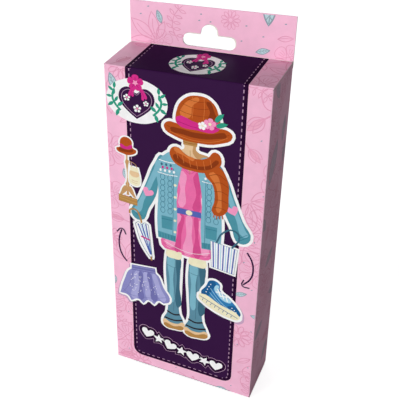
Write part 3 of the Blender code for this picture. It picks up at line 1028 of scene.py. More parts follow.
@dataclass
class Carton:
    """The printed boxboard shell: one folded sleeve, the hanging header and the two lids. Millimetres."""

    half_width: float = 49.95
    front: float = -19.25
    back: float = 19.0
    board: float = 0.5
    crease: float = 0.7
    side_top: float = 229.65
    front_top: float = 230.2
    height: float = 231.0
    SHELL = (BLUSH_BOARD, GREY_BACK, EDGE)
    FACES = {"material_offset": 1, "material_offset_rim": 2}  # of a thickened sheet: bare inside, cut at its rim

    def sleeve(self) -> None:
        """Folds the front, side and back walls from one board."""
        low, near = self.height - self.side_top, 0.02
        piece = Bench.start(
            "carton_sleeve", bpy.ops.mesh.primitive_cube_add, (0, (self.front + self.back) / 2, self.height / 2),
            (2 * self.half_width, self.back - self.front, self.side_top - low), finishes=self.SHELL,
        )
        Bench.pick(piece, "FACE", lambda middle, way: abs(way.z) > 0.9)
        bpy.ops.mesh.delete(type="FACE")
        Bench.pick(piece, "EDGE", lambda middle, way: abs(way.z) > 0.9)
        bpy.ops.mesh.bevel(offset=self.crease * MM, segments=4, affect="EDGES")
        step = self.front_top - self.side_top
        walls = ((self.front, self.side_top, step), (self.front, low, -step), (self.back, self.side_top, low),
                 (self.back, low, -low))
        for y, z, rise in walls:
            Bench.pick(piece, "EDGE", lambda middle, way: abs(middle.y - y) < near
                       and abs(middle.z - z) < near and abs(way.x) > 0.9)
            Bench.fold([(0, 0, True), (0, rise, True)])
        Bench.close(piece)
        Bench.thicken(piece, self.board, -1, **self.FACES)
        Bench.finish(piece, "carton", *self.SHELL, smooth=40,
                     replaces=("front_panel", "left_side_panel", "right_side_panel"))

    def header(self) -> None:
        """Doubles the header over, glues its rear ply down on the back wall and cuts its hanging slot."""
        near_y, far_y, fold = 18.765, 19.215, 256.55
        middle, round_by = (near_y + far_y) / 2, (far_y - near_y) / 2
        piece = Bench.start(
            "hang_header", bpy.ops.mesh.primitive_plane_add, (0, near_y, (self.height + fold) / 2),
            (2 * 49.9, fold - self.height, 1), finishes=self.SHELL, rotation=(math.pi / 2, 0, 0),
        )
        Bench.pick(piece, "EDGE", lambda mid, way: mid.z > fold - 0.1 and abs(way.x) > 0.9)
        angles = (0, 0.6, 1.2, 1.94, 2.54, math.pi)
        turn = [(middle - round_by * math.cos(a), fold + round_by * math.sin(a), True) for a in angles]
        Bench.fold([*turn, (far_y, 227.0, True)])
        Bench.close(piece)
        if piece.data.polygons[0].normal.y > 0:
            piece.data.flip_normals()
        Bench.thicken(piece, 0.43, **self.FACES)
        for off, depth in ((0.0, 21.0), (0.75, middle)):  # through both plies, then wider through the front one
            cutter = self.slot_cutter(off, depth)
            Bench.modify(piece, "BOOLEAN", operation="DIFFERENCE", solver="EXACT", object=cutter)
            Bench.only(cutter)
            bpy.ops.object.delete()
        for face in piece.data.polygons:
            spot = face.center / MM
            if abs(spot.x) < 17 and 231.5 < spot.z < 248 and abs(face.normal.y) < 0.5:
                face.material_index = 2
        Bench.finish(piece, "carton", *self.SHELL, smooth=40, replaces=("back_panel",))

    @staticmethod
    def slot_cutter(off: float, depth: float) -> Piece:
        """The euro slot's shape: a bar with round ends and a bump over its middle.

        Args:
            off: how far it stands off its place to the right and up.
            depth: how far back it reaches, both plies or the front one.

        Returns:
            The solid to take out.
        """
        half = 3.0
        slot = drawn("-16,236.4 -15,233.7 -13,232.7! 13,232.7! 15,233.7 16,236.4 15,239.2 13,240.2! 5.2,240.2! 5,241.3 "
                     "3.9,244.6 0,246.4 -3.9,244.6 -5,241.3 -5.2,240.2! -13,240.2! -15,239.2")
        cut = Print("slot_cutter", Side.FRONT, (off, depth - half, off), steps=8, depth=half)
        (piece,) = cut.films([Stroke(Ink.WHITE, 1, [slot])])
        Bench.close(piece)
        return piece

    def lid(self, end: str, up: int) -> None:
        """Folds one end lid with its front crease.

        Args:
            end: top or bottom.
            up: 1 for the top lid, -1 for the bottom one.
        """
        outer = self.height - 0.05 if up > 0 else 0.08
        rear, corner, rounded = 18.2, 1.6, 0.62
        start = self.front + rounded
        finishes = (LID_BOARD, GREY_BACK, EDGE, LID_PLUM, LID_PLUM_DARK)
        piece = Bench.start(f"{end}_lid_board", bpy.ops.mesh.primitive_plane_add, (0, (start + rear) / 2, outer),
                            (2 * 49.85, rear - start, 1), finishes=finishes)
        Bench.pick(piece, "VERT", lambda middle, way: middle.y > 0)
        bpy.ops.mesh.bevel(offset=corner * MM, segments=5, affect="VERTICES")
        Bench.pick(piece, "EDGE", lambda middle, way: middle.y < start + 0.01 and abs(way.x) > 0.9)
        angles = (0, 0.39, 0.79, 1.18, math.pi / 2)
        turn = [(start - rounded * math.sin(a), rounded * (math.cos(a) - 1), True) for a in angles]
        Bench.fold([*turn, (self.front, -rounded - 0.12, True)], up=up)
        for x in (-PANEL_HALF, -PANEL_HALF + BAND, PANEL_HALF - BAND, PANEL_HALF):
            Bench.pick(piece, "FACE", lambda middle, way: middle.y < start)
            bpy.ops.mesh.bisect(plane_co=(x * MM, 0, 0), plane_no=(1, 0, 0))
        Bench.close(piece)
        if piece.data.polygons[0].normal.z * up < 0:
            piece.data.flip_normals()
        Bench.thicken(piece, 0.42, -1, **self.FACES)
        for face in piece.data.polygons:
            across = abs(face.center.x) / MM
            if face.center.y < start * MM and face.material_index != 1:
                face.material_index = 3 if across < PANEL_HALF - BAND else 4 if across < PANEL_HALF else 0
        Bench.finish(piece, f"{end}_lid", *finishes, smooth=40, replaces=(f"{end}_lid",))

    @staticmethod
    def strip(name: str, path: Path, reach: Corner, along: str, bodies: tuple[str, str], start: Place,
              end: Place) -> None:
        """Makes the creased board between a flap and what it hangs from.

        Args:
            name: the piece's name.
            path: points in the plane across the crease, as across and z.
            reach: its two ends along the crease.
            along: x or y, the crease's direction.
            bodies: the two bodies it lies between, named in the log.
            start: not used.
            end: not used.
        """
        (a, z, _), (next_a, next_z, _) = path[:2]
        middle, length = sum(reach) / 2, reach[1] - reach[0]
        turn, rise = math.atan2(next_z - z, next_a - a), math.dist((a, z), (next_a, next_z))
        spot = (middle, (a + next_a) / 2, (z + next_z) / 2)
        size, turned = (length, rise, 1), (turn, 0, 0)
        if along == "y":
            spot, size, turned = (spot[1], middle, spot[2]), (rise, length, 1), (0, -turn, 0)
        piece = Bench.start(name, bpy.ops.mesh.primitive_plane_add, spot, size, rotation=turned)
        axis = 1 if along == "x" else 0
        for here, after in zip(path[1:], path[2:]):
            Bench.pick(piece, "EDGE", lambda mid, way: math.dist((mid[axis], mid.z), here[:2]) < 0.01)
            Bench.fold([here, after], along)
        Bench.close(piece)
        Bench.thicken(piece, 0.3)
        Bench.only(piece)
        bpy.ops.object.shade_smooth_by_angle(angle=math.radians(60))
        piece.data.materials.append(CREASE.material())
        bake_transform(piece)
        LOG.info("%s: bends from %s to %s", name, *bodies)

    def creases(self) -> None:
        """Adds the creased strips where the tuck and dust flaps fold."""
        tuck = drawn("17.3,230.72 17.6,230.7 17.82,230.45 17.86,230.15 17.76,229.8 17.68,229.4")
        dust = drawn("49.7,228.6 49.7,229.5 49.6,229.85 49.3,229.95 48.6,229.95")
        for end, up in (("top", 1), ("bottom", -1)):
            zero = 0 if up > 0 else self.height
            self.strip(f"{end}_tuck_crease", moved(tuck, 0, zero, 0, 1, up), (-44.0, 44.0), "x",
                       (f"{end}_lid", f"{end}_tuck_flap"),
                       (0, 17.62, zero + up * 230.72), (0, 17.74, zero + up * 229.85))
            for side, sign in (("left", -1), ("right", 1)):
                self.strip(f"{end}_dust_crease_{side}", moved(dust, 0, zero, 0, sign, up), (-15.6, 13.6), "y",
                           ("carton", f"{end}_dust_flap_{side}"),
                           (sign * 49.7, 0, zero + up * 229.4), (sign * 49.3, 0, zero + up * 229.95))

    def build(self) -> None:
        """Makes the whole shell."""
        self.sleeve()
        self.header()
        self.lid("top", 1)
        self.lid("bottom", -1)
        self.creases()


@dataclass
class Studio:
    """The camera at the photograph's angle, a pale floor and soft light."""

    place: Place = (141.26, -382.67, 401.13)
    azimuth: float = 30.43
    tilt: float = 57.78
    roll: float = -4.27
    focal: float = 756.09  # pixels of a 400 px wide picture
    centre: Corner = (80.0, 194.69)
    key: float = 3.0
    fill: float = 2.4
    ambient: float = 0.2

    @staticmethod
    def hang(name: str, data: bpy.types.ID) -> Piece:
        """Puts a lamp or camera in the scene.

        Args:
            name: its name.
            data: the lamp or lens.

        Returns:
            The new object.
        """
        piece = bpy.data.objects.new(name, data)
        bpy.context.scene.collection.objects.link(piece)
        return piece

    def camera(self) -> None:
        """Sets the camera, with its small shift."""
        lens = bpy.data.cameras.new("camera")
        lens.sensor_width = 36.0
        lens.sensor_fit = "HORIZONTAL"
        lens.lens = self.focal / PICTURE * lens.sensor_width
        lens.shift_x = (PICTURE / 2 - self.centre[0]) / PICTURE
        lens.shift_y = (self.centre[1] - PICTURE / 2) / PICTURE
        lens.clip_start, lens.clip_end = 0.01, 20.0
        where = Matrix.Translation(Vector(self.place) * MM)
        for degrees, axis in ((self.azimuth, "Z"), (self.tilt, "X"), (self.roll, "Z")):
            where = where @ Matrix.Rotation(math.radians(degrees), 4, axis)
        spot = self.hang("camera", lens)
        spot.matrix_world = where
        bpy.context.scene.camera = spot

    @staticmethod
    def floor() -> None:
        """Lays a pale seamless floor under the carton, shown almost white to the camera."""
        piece = Bench.start("studio_floor", bpy.ops.mesh.primitive_plane_add, (0, 0, -0.4), unit=12.0)
        made = bpy.data.materials.new("seamless_paper_matt")
        made.use_nodes = True
        tree = made.node_tree
        shader = tree.nodes["Principled BSDF"]
        plain = {"Base Color": linear("B8B8B8"), "Roughness": 0.95, "Specular IOR Level": 0.1,
                 "Emission Color": (1, 1, 1, 1)}
        for name, value in plain.items():
            shader.inputs[name].default_value = value
        seen = add_node(tree, "LightPath").outputs["Is Camera Ray"]
        shown = add_node(tree, "Math", {0: seen, 1: 0.85}, operation="MULTIPLY").outputs[0]
        tree.links.new(shown, shader.inputs["Emission Strength"])
        piece.data.materials.append(made)

    def sun(self, name: str, heading: float, height: float, strength: float, spread: float) -> None:
        """Adds a soft distant lamp.

        Args:
            name: the lamp's name.
            heading: degrees from the front towards the right, seen from above.
            height: degrees above the horizon.
            strength: its power.
            spread: its angle in degrees, which softens shadows.
        """
        lamp = bpy.data.lights.new(name, "SUN")
        lamp.energy, lamp.angle = strength, math.radians(spread)
        a, h = math.radians(heading), math.radians(height)
        way = Vector((math.sin(a) * math.cos(h), -math.cos(a) * math.cos(h), math.sin(h)))
        self.hang(name, lamp).rotation_euler = way.to_track_quat("Z", "Y").to_euler()

    def world(self) -> None:
        """Lights softly all round and shows white behind."""
        scene = bpy.context.scene
        scene.world = bpy.data.worlds.new("studio")
        scene.world.use_nodes = True
        tree = scene.world.node_tree
        path = add_node(tree, "LightPath").outputs
        ways = path["Is Camera Ray"]
        for ray in ("Is Glossy Ray", "Is Transmission Ray"):
            ways = add_node(tree, "Math", {0: ways, 1: path[ray]}, operation="MAXIMUM").outputs[0]
        level = add_node(tree, "MapRange", {0: ways, 3: self.ambient, 4: 1.0})
        back = tree.nodes["Background"]
        back.inputs["Color"].default_value = (1, 1, 1, 1)
        tree.links.new(level.outputs[0], back.inputs["Strength"])

    def build(self) -> None:
        """Sets everything around the object."""
        self.camera()
        self.floor()
        self.world()
        self.sun("key_lamp", -35, 11.5, self.key, 30)
        self.sun("back_lamp", -160, 4, self.fill, 60)
        bpy.context.scene.view_settings.view_transform = "Standard"


@dataclass
class Panel:
    """The plum panel with its dark border and the dashes stitched along it."""

    half: float = PANEL_HALF
    low: float = 8.5
    high: float = 240.0
    corner: float = 6.3
    dash: float = 2.0
    step: float = 3.9  # from one dash to the next

    def outline(self, inset: float) -> Path:
        """The panel's edge with rounded lower corners, moved in by an inset.

        Args:
            inset: how far in, in millimetres.

        Returns:
            The outline, from its lower right corner round to its upper right one.
        """
        x, y, r = self.half - inset, self.low + inset, max(self.corner - inset, 1.0)
        angles = (0, 0.39, 0.79, 1.18, math.pi / 2)
        left = [(-x + r - r * math.sin(a), y + r - r * math.cos(a), True) for a in angles]
        return mirrored(left) + left + [(-x, self.high, True), (x, self.high, True)]

    def stitches(self, line: Path) -> list[Path]:
        """Lays dashes along a line.

        Args:
            line: its points.

        Returns:
            The dashes, cut off at corners.
        """
        dashes, walked, due = [], 0.0, 0.6
        for (ax, ay, _), (bx, by, _) in zip(line, line[1:]):
            length = math.dist((ax, ay), (bx, by))
            while due < walked + length:
                ends = (due - walked) / length, (min(due + self.dash, walked + length) - walked) / length
                dashes.append([(ax + (bx - ax) * k, ay + (by - ay) * k, True) for k in ends])
                due += self.step
            walked += length
        return dashes

    def draw(self, square: bool = False) -> Artwork:
        """Lays the panel, its border and the stitches.

        Args:
            square: whether the panel runs off both ends.

        Returns:
            The artwork.
        """
        inner = self.outline(BAND)
        right, left = inner[0][0], inner[-3][0]
        top = [(x, self.high, True) for x in (right, left)]
        routes = [[top[0], *inner[:-2], top[1]]]
        if square:
            routes = [[top[0], (right, self.low, True)], [(left, self.low, True), top[1]]]
        art = Artwork()
        art.fill(Ink.PLUM_DARK, 4, self.outline(0))
        art.fill(Ink.PLUM, 5, inner)
        art.line(Ink.STITCH, 6, 0.56, *[dash for line in routes for dash in self.stitches(line)])
        return art


class Emblem:
    """The oval badge: a plum heart between leaf sprigs, under a magenta blossom."""

    @staticmethod
    def draw() -> Artwork:
        """Draws the badge round its own centre.

        Returns:
            The badge.
        """
        heart = drawn("0,5 3.6,8.2 8.6,7.6 11.4,3 10,-2.4 5.6,-7.2 "
                      "0,-11.4! -5.6,-7.2 -10,-2.4 -11.4,3 -8.6,7.6 -3.6,8.2")
        stem = drawn("10.5,-7.5 14,-3.5 15.6,1.0 14.2,6.0")
        spots = ((11.6, -6.4, -70, 4.2), (12.6, -5.0, 140, 4.0), (14.6, -2.4, -35, 4.0), (14.2, -2.4, 120, 3.4),
                 (15.6, 0.8, 5, 3.2), (15.2, 1.6, 105, 3.6), (14.8, 4.4, 40, 3.4), (14.2, 6.0, 95, 3.6))
        leaves = [moved(petal(0, size * 1.3, size * 0.62, turn, True), x, y) for x, y, turn, size in spots]
        blossom = Artwork()
        blossom.fill(Ink.MAGENTA, 12, *flower(0.6, 4.6, 4.2, 18))
        blossom.line(Ink.MAGENTA_DARK, 13, 0.3, *[Ground.ray(1.2, 3.6, 18 + 72 * i) for i in range(5)])
        blossom.fill(Ink.PINK_LIGHT, 14, oval(0, 0, 1.2, 1.2, count=6))
        art = Artwork()
        art.fill(Ink.WHITE, 8, oval(0, 0, 19.5, 14.2, count=12))
        art.fill(Ink.PLUM, 9, heart)
        art.line(Ink.STITCH, 10, 0.3, moved(heart, 0, -0.2, 0, 0.84), closed=True)
        for turned in (mirrored, list):
            art.line(Ink.TEAL, 10, 1.35, turned(stem))
            art.fill(Ink.TEAL, 11, *[turned(leaf) for leaf in leaves])
        art.stamp(blossom, -0.5, 11.6)
        art.draw("""
            MAGENTA 11 -1.5,9.2 -4.2,6.4 -4.8,2.4 -3.4,3.6! -2.2,2.6 -1.6,6 0.2,8.8
                / 0.4,9.0 3.0,5.8 4.2,1.0 5.0,2.6! 6.4,2.2 5.2,6.4 2.2,9.4
            MAGENTA_DARK 11 ~0.25 -1.2,8.4 -3.0,6 -3.6,3.6 / 1.4,8.4 3.8,5.6 5.0,3.0
        """)
        for x, y, size in ((-6.2, 1.6, 1.0), (6.0, -0.6, 0.8), (0.4, -4.6, 1.15)):
            art.fill(Ink.WHITE, 11, *[moved(leaf, x, y, 0, size) for leaf in flower(0.5, 1.7, 1.5, 90)])
            art.fill(Ink.PINK, 12, oval(x, y, 0.55 * size, 0.55 * size, count=5))
        return art


class Outfit:
    """The large picture: a cardigan, dress, scarf and hat on a tailor's dress form, with what goes with them."""

    MIDDLE = 4.0  # mm, where the form's middle stands

    @staticmethod
    def hat(art: Artwork) -> None:
        """Draws the straw hat with its band and blossoms.

        Args:
            art: the picture that it becomes part of.
        """
        art.draw("""
            brim = -13,196 -6,191 8,189 22,191 30,197 26,201 16,199 6,198.5 -5,200 -11,200
            crown = -4,199 -5,208 0,217 8,220 16,218 21,210 21,199 8,197
            border 7 @1.9 brim / crown
            AUBURN 12 brim
            AUBURN_DARK 13 -9,195.8 0,193.0 9,192.2 20,194.0 26.5,197.4 16,196.4 6,195.8 -3,196.8
            AUBURN 14 crown
            AUBURN_LIGHT 15 -2.4,206 -1,212 4,217 9,218.4 5,213 3.4,205.2
            AUBURN_DARK 15 14,217.2 18.6,211 19.6,205 15.4,204 15.8,211
            AUBURN_DARK 16 ~0.28 -3,209 2,207.6 9,207 16,207.8 20,209 / -1,213.6 4,212 10,211.6 17,213.2
                / 2,217 8,216 14,217 / -11,197.4 -3,194.6 8,193.4 20,195 28,198
            AUBURN_LIGHT 16 ~0.28 -9,193.8 0,191.2 9,190.4 20,192.2 27,196
                / 5,219 5.4,212 5,205 / 12,219 12.4,212 12,205
            MAGENTA 17 -4.6,200 -4.8,204.5 8,202.5 21.2,204.5 21.2,199.5 8,197.6
            MAGENTA_DARK 18 ~0.35 -4.4,201.4 8,199.2 21,201.2
        """)
        for x, y, size, ink in ((16, 203, 1.0, Ink.PINK_LIGHT), (11.4, 201.2, 0.7, Ink.WHITE)):
            art.fill(ink, 19, *[moved(leaf, x, y, 0, size) for leaf in flower(0.5, 3.4, 3.0, 10)])
            art.fill(Ink.FLEECE, 20, oval(x, y, size, size, count=6))
        art.draw("TEAL 18 19.5,205 23,207.4 24.4,211! 20.6,209.4 / 20,202 24.4,202.4 27,204.8! 22.4,205")

    @staticmethod
    def form(art: Artwork) -> None:
        """Draws the dress form's bust, seams and wooden cap.

        Args:
            art: the picture that it becomes part of.
        """
        art.draw("""
            bust = 0,187! 8,187! 8,183.5 17,180 19,170 18,162 -10,162 -11,170 -9,180 0,183.5
            border 7 @1.9 bust
            SAND 8 bust
            SAND_DARK 9 8,187! 8,183.5 17,180 18,172 12,176 6,181 6,187!
            KRAFT 9 ~0.3 4,183 4.2,176 4,166 / -2,182 -4,175 -4.4,166 / -9,176 -2,173 4,172 11,173 17,176
            KRAFT 10 -0.8,190.5! 8.8,190.5! 8.4,186.4! -0.4,186.4!
            AUBURN_DARK 10 ~0.3 -0.6,188.4 4,187.8 8.6,188.4
        """)

    @staticmethod
    def dress(art: Artwork) -> None:
        """Draws the pink dress with its folds.

        Args:
            art: the picture that it becomes part of.
        """
        art.draw("""
            skirt = -4,138! 12,138! 16,124 20,106 8,102.5 -3,103.6 -15,107.5 -10,122
            border 7 @1.9 skirt
            PINK 9 -6,169 -2,172 4,168.5 10,172 14,169 12,150 11,137 -3,137 -4,150
            PINK_LIGHT 10 -3,166 0,167.4 1,155 0,141 -2.4,141 -2,154
            PINK_DARK 10 8,168 12,168 11,152 10,139 7.4,139 8.6,152
            PINK_DARK 10 ~0.35 -5,168 -1,170 4,166.6 9,170 13,168
            PINK 9 skirt
            PINK_LIGHT 10 -7,124 -5,134 -3,136 -5,122 -8,106.4 -11.6,107.4
                / 3,136 5,136 6,120 5.4,103.4 1.6,103.6 2.4,120 / 12,134 14,124 17.4,107 14.6,105.6 12,120
            PINK_DARK 10 -2,136 0,136 -1,120 -3.4,104.2 -5.4,105 -3.4,120
                / 8,136 9.6,136 10.6,120 11.6,103.6 8.8,103 8.6,120
            PINK_DARK 11 ~0.4 -14,109 -3,105.2 8,104.2 19,107.6
            WHITE 11 ~0.3 -13.4,111 -3,107.2 8,106.2 18.6,109.6
        """)

    @staticmethod
    def carried(art: Artwork) -> None:
        """Draws the belt and what hangs from the cuffs: a furled umbrella and a striped tote.

        Args:
            art: the picture that it becomes part of.
        """
        wide, thin = (
            [drawn(f"{18.8 + 18 * t},{120 - 2.4 * t}! {20 + 15.4 * t},{99.6 - 2.2 * t}!") for t in shares]
            for shares in ((0.1, 0.3, 0.5, 0.7, 0.9), (0.2, 0.4, 0.6, 0.8))
        )
        art.draw("""
            umbrella = -34,119.4! -31.6,121.4 -29.4,120 -27,121.6 -24.4,120.2! -22.4,98 -22,94! -23.6,94! -29.6,104
            tote = 18.8,120! 36.8,117.6! 35.4,97.4! 20,99.6!
            INDIGO 11 -4,139.8! 12,139.8! 12.4,135.4! -4.4,135.4!
            FLEECE 12 buckle
            border 7 @1.9 umbrella / tote
            WHITE 17 umbrella / tote
            INDIGO 18 ~0.9 wide / -32,119.8 -23.2,96.6 / -29.2,120 -22.9,96.6 / -26.4,120.8 -22.6,96.6
            SKY 18 ~0.5 thin / -30.6,120 -23,100 / -27.8,120.6 -22.7,100
            MAGENTA 19 ~1.1 -30,110 -23.4,108.4
            KRAFT 19 ~1.2 -29.4,121 -30.6,126.4 -33.6,130.6 -37.4,129.8 -38,126.6 / -22.8,95 -22.6,91.6
            SLATE_DARK 19 ~1.2 22.8,119.4 27,128.4 33.8,131.8 37.6,127.6 33.2,118.2
            DENIM_LINE 19 @0.3 tote / umbrella
        """, buckle=[oval(4, 137.6, 2.2, 1.9, count=6)], wide=wide, thin=thin)

    def cardigan(self, art: Artwork) -> None:
        """Draws the knitted cardigan: sleeves, cables, ribbed hem, patterned yoke, pockets and buttons.

        Args:
            art: the picture that it becomes part of.
        """
        cables = [oval(x, 135.4 + 4.2 * i, 1.5, 2.1, count=6) for x in (-14, -9) for i in range(7)]
        ribs = [drawn(f"{x},117! {x + 0.1},113.2!") for x in range(-16, -5, 2)]
        art.draw("""
            body = -5,180 -13,176.6 -18,168 -17,150 -18,128 -17.4,113! -5,112! -4,130 -4.4,150 -2,166 -1,172
            sleeve = -14,176 -19,170 -25,155 -31,140 -36.6,127.6 -30,123 -24,134 -18,148 -17,160
            border 7 @1.9 & body / sleeve
            DENIM_DARK 12 & sleeve
            DENIM 13 & -16.4,172 -20,165 -26,150 -33,134 -35,130 -32,128.6 -27,140 -20,156
            DENIM 14 & body
            DENIM_DARK 15 & -17.6,118! -17.3,113.2! -5,112.2! -4.8,116.8! / -15,131! -7.2,131! -7.4,121! -14.8,121!
            DENIM_LINE 16 @0.32 & cables
            DENIM_LINE 16 ~0.32 & ribs / -6.6,168 -6.8,140 -7,113 / -15,128.6 -7.3,128.6
                / -34.6,131 -28.6,126.6 / -35.4,129.4 -29.4,125
            WHITE 16 ~0.5 & -17.4,163.4 -10,162.6 -4,163 / -16.6,172.6 -10,171.8 -4,172.2
        """, self.MIDDLE, cables=cables, ribs=ribs)
        yoke = ((Ink.WHITE, 165.4, (-15.4, -12.4, -9.4, -6.4)), (Ink.MAGENTA, 167.6, (-13.9, -10.9, -7.9)),
                (Ink.SLATE_DARK, 169.8, (-14.6, -11.6, -8.6)))
        for ink, y, across in yoke:
            for x in across:
                art.fill(ink, 17, *[oval(spot, y, 0.75, 1.0, count=4) for spot in (x, 2 * self.MIDDLE - x)])
        art.fill(Ink.FLEECE, 17, *[oval(-5.5, y, 0.95, 0.95, count=6) for y in range(156, 119, -9)])
        patches = [moved(drawn(HEART), x, 146.5, turn, 0.7676) for x, turn in ((-24.4, -24.23), (32.4, 24.23))]
        art.fill(Ink.PINK_LIGHT, 16, *patches)

    @staticmethod
    def scarf(art: Artwork) -> None:
        """Draws the knitted auburn scarf, wound once with long fringed ends.

        Args:
            art: the picture that it becomes part of.
        """
        spots = ((-5, 181.6), (-1, 179), (3.4, 177.4), (8, 176.6), (12.6, 177.4), (16.8, 179.6))
        art.draw("""
            loop = -5,184 1,180 8,178 15,180 20,185 24,180 21,173 14,169.4 6,169 -3,170.6 -8,175 -9,181
            tail = 14,176 22,176 28,168 29.4,156 27,142 20,141 20.6,152 19,162 14,168
            border 7 @1.9 loop / tail
            AUBURN 18 tail
            AUBURN_LIGHT 19 17,171 21,170 24,163 25,152 24,143 22.4,143 22.8,153 21,162
            AUBURN_DARK 20 ~0.35 16.4,168 22,170 27.6,167 / 18.4,163 24,164.6 28.8,162.4
                / 20,157.4 24.6,158.4 29.2,156.8 / 20.4,151.6 25,152.2 29,151 / 20.2,146 24.6,146.4 28,145.4
            AUBURN 18 ~0.8 20.8,142 20.4,138.4 / 22.4,142 22.4,137.6 / 24,142.2 24.4,138 / 25.6,142.4 26.4,138.6
            AUBURN 20 loop
            AUBURN_DARK 21 -6,178.6 0,175 8,173.2 16,175 22,179.6 20,175 14,171.4 6,170.8 -3,172.4 -7,176
            AUBURN_LIGHT 21 -6.6,182.6 0,178.8 7,177 1,179.6 -4.6,183.6
            AUBURN_LIGHT 22 ~0.3 stitches
        """, stitches=[drawn(f"{x},{y} {x + 1.2},{y - 5.6}") for x, y in spots])

    @staticmethod
    def boots(art: Artwork) -> None:
        """Draws the pair of tall boots.

        Args:
            art: the picture that it becomes part of.
        """
        art.draw("""
            left = -11,104! -1,104! -1.5,88 -2,70 -2,52 1,44 1,38 -5,36 -13,37 -14,42 -11,50 -11,68 -12,88
            right = 5,102! 16,102! 16,86 15,68 15,50 18,42 19,37 12,34 3,35 2,40 5,48 5,66 4,86
            border 7 @1.9 left / right
            SLATE 8 left / right
            DENIM 9 -9.6,100 -7,100 -6.8,80 -6.4,60 -8,60 -9.4,80 / 6.6,98 9.4,98 9.4,80 9,58 7,58 6.4,80
            SLATE_DARK 9 -3.6,100 -1.8,100 -2.4,80 -2.6,56 -4.4,58 -4,80 / 13,98 15.2,98 15.2,80 14.2,54 12.2,56 13,80
            SAND 10 -13.4,42.6 -9,40.6 -3,41 1,43.4 1.2,38 -5,36 -13,37
                / 2.6,40.4 7,38.6 13,38.8 18,41 19,37 12,34 3,35
            KRAFT 11 -13.6,38.6 -6,37.8 1,39.2 1,36.8 -5,35.2 -13,36
                / 2.6,36.8 10,35.8 19,38.2 18.8,35.8 12,33.2 3,34
            BLACK 11 ~1.3 -11.2,50.6 -6,48.8 -1.6,50 / 4.6,48.6 10,47 15.4,48.8
                / -13.2,44.2 -6,43.4 0.6,45.6 / 2.8,42.4 10,41.4 17.8,43.6
            SLATE_DARK 10 ~0.3 -11.8,92 -6,90.6 -1.6,91.8 / 4.2,90 10,88.8 16,90.2
                / -6,90 -6,70 -6.2,52 / 10.4,88 10.2,68 10,50
            FLEECE 10 -11.6,104.6! -0.8,104.6! -1.2,99 -6,98 -11.6,99.4 / 4.6,102.6! 16.2,102.6! 16.2,97 10,96 4.4,97.4
        """)

    def draw(self) -> Artwork:
        """Puts the whole picture together.

        Returns:
            The picture.
        """
        art = Artwork()
        for part in (self.boots, self.form, self.dress, self.cardigan, self.scarf, self.carried, self.hat):
            part(art)
        return art


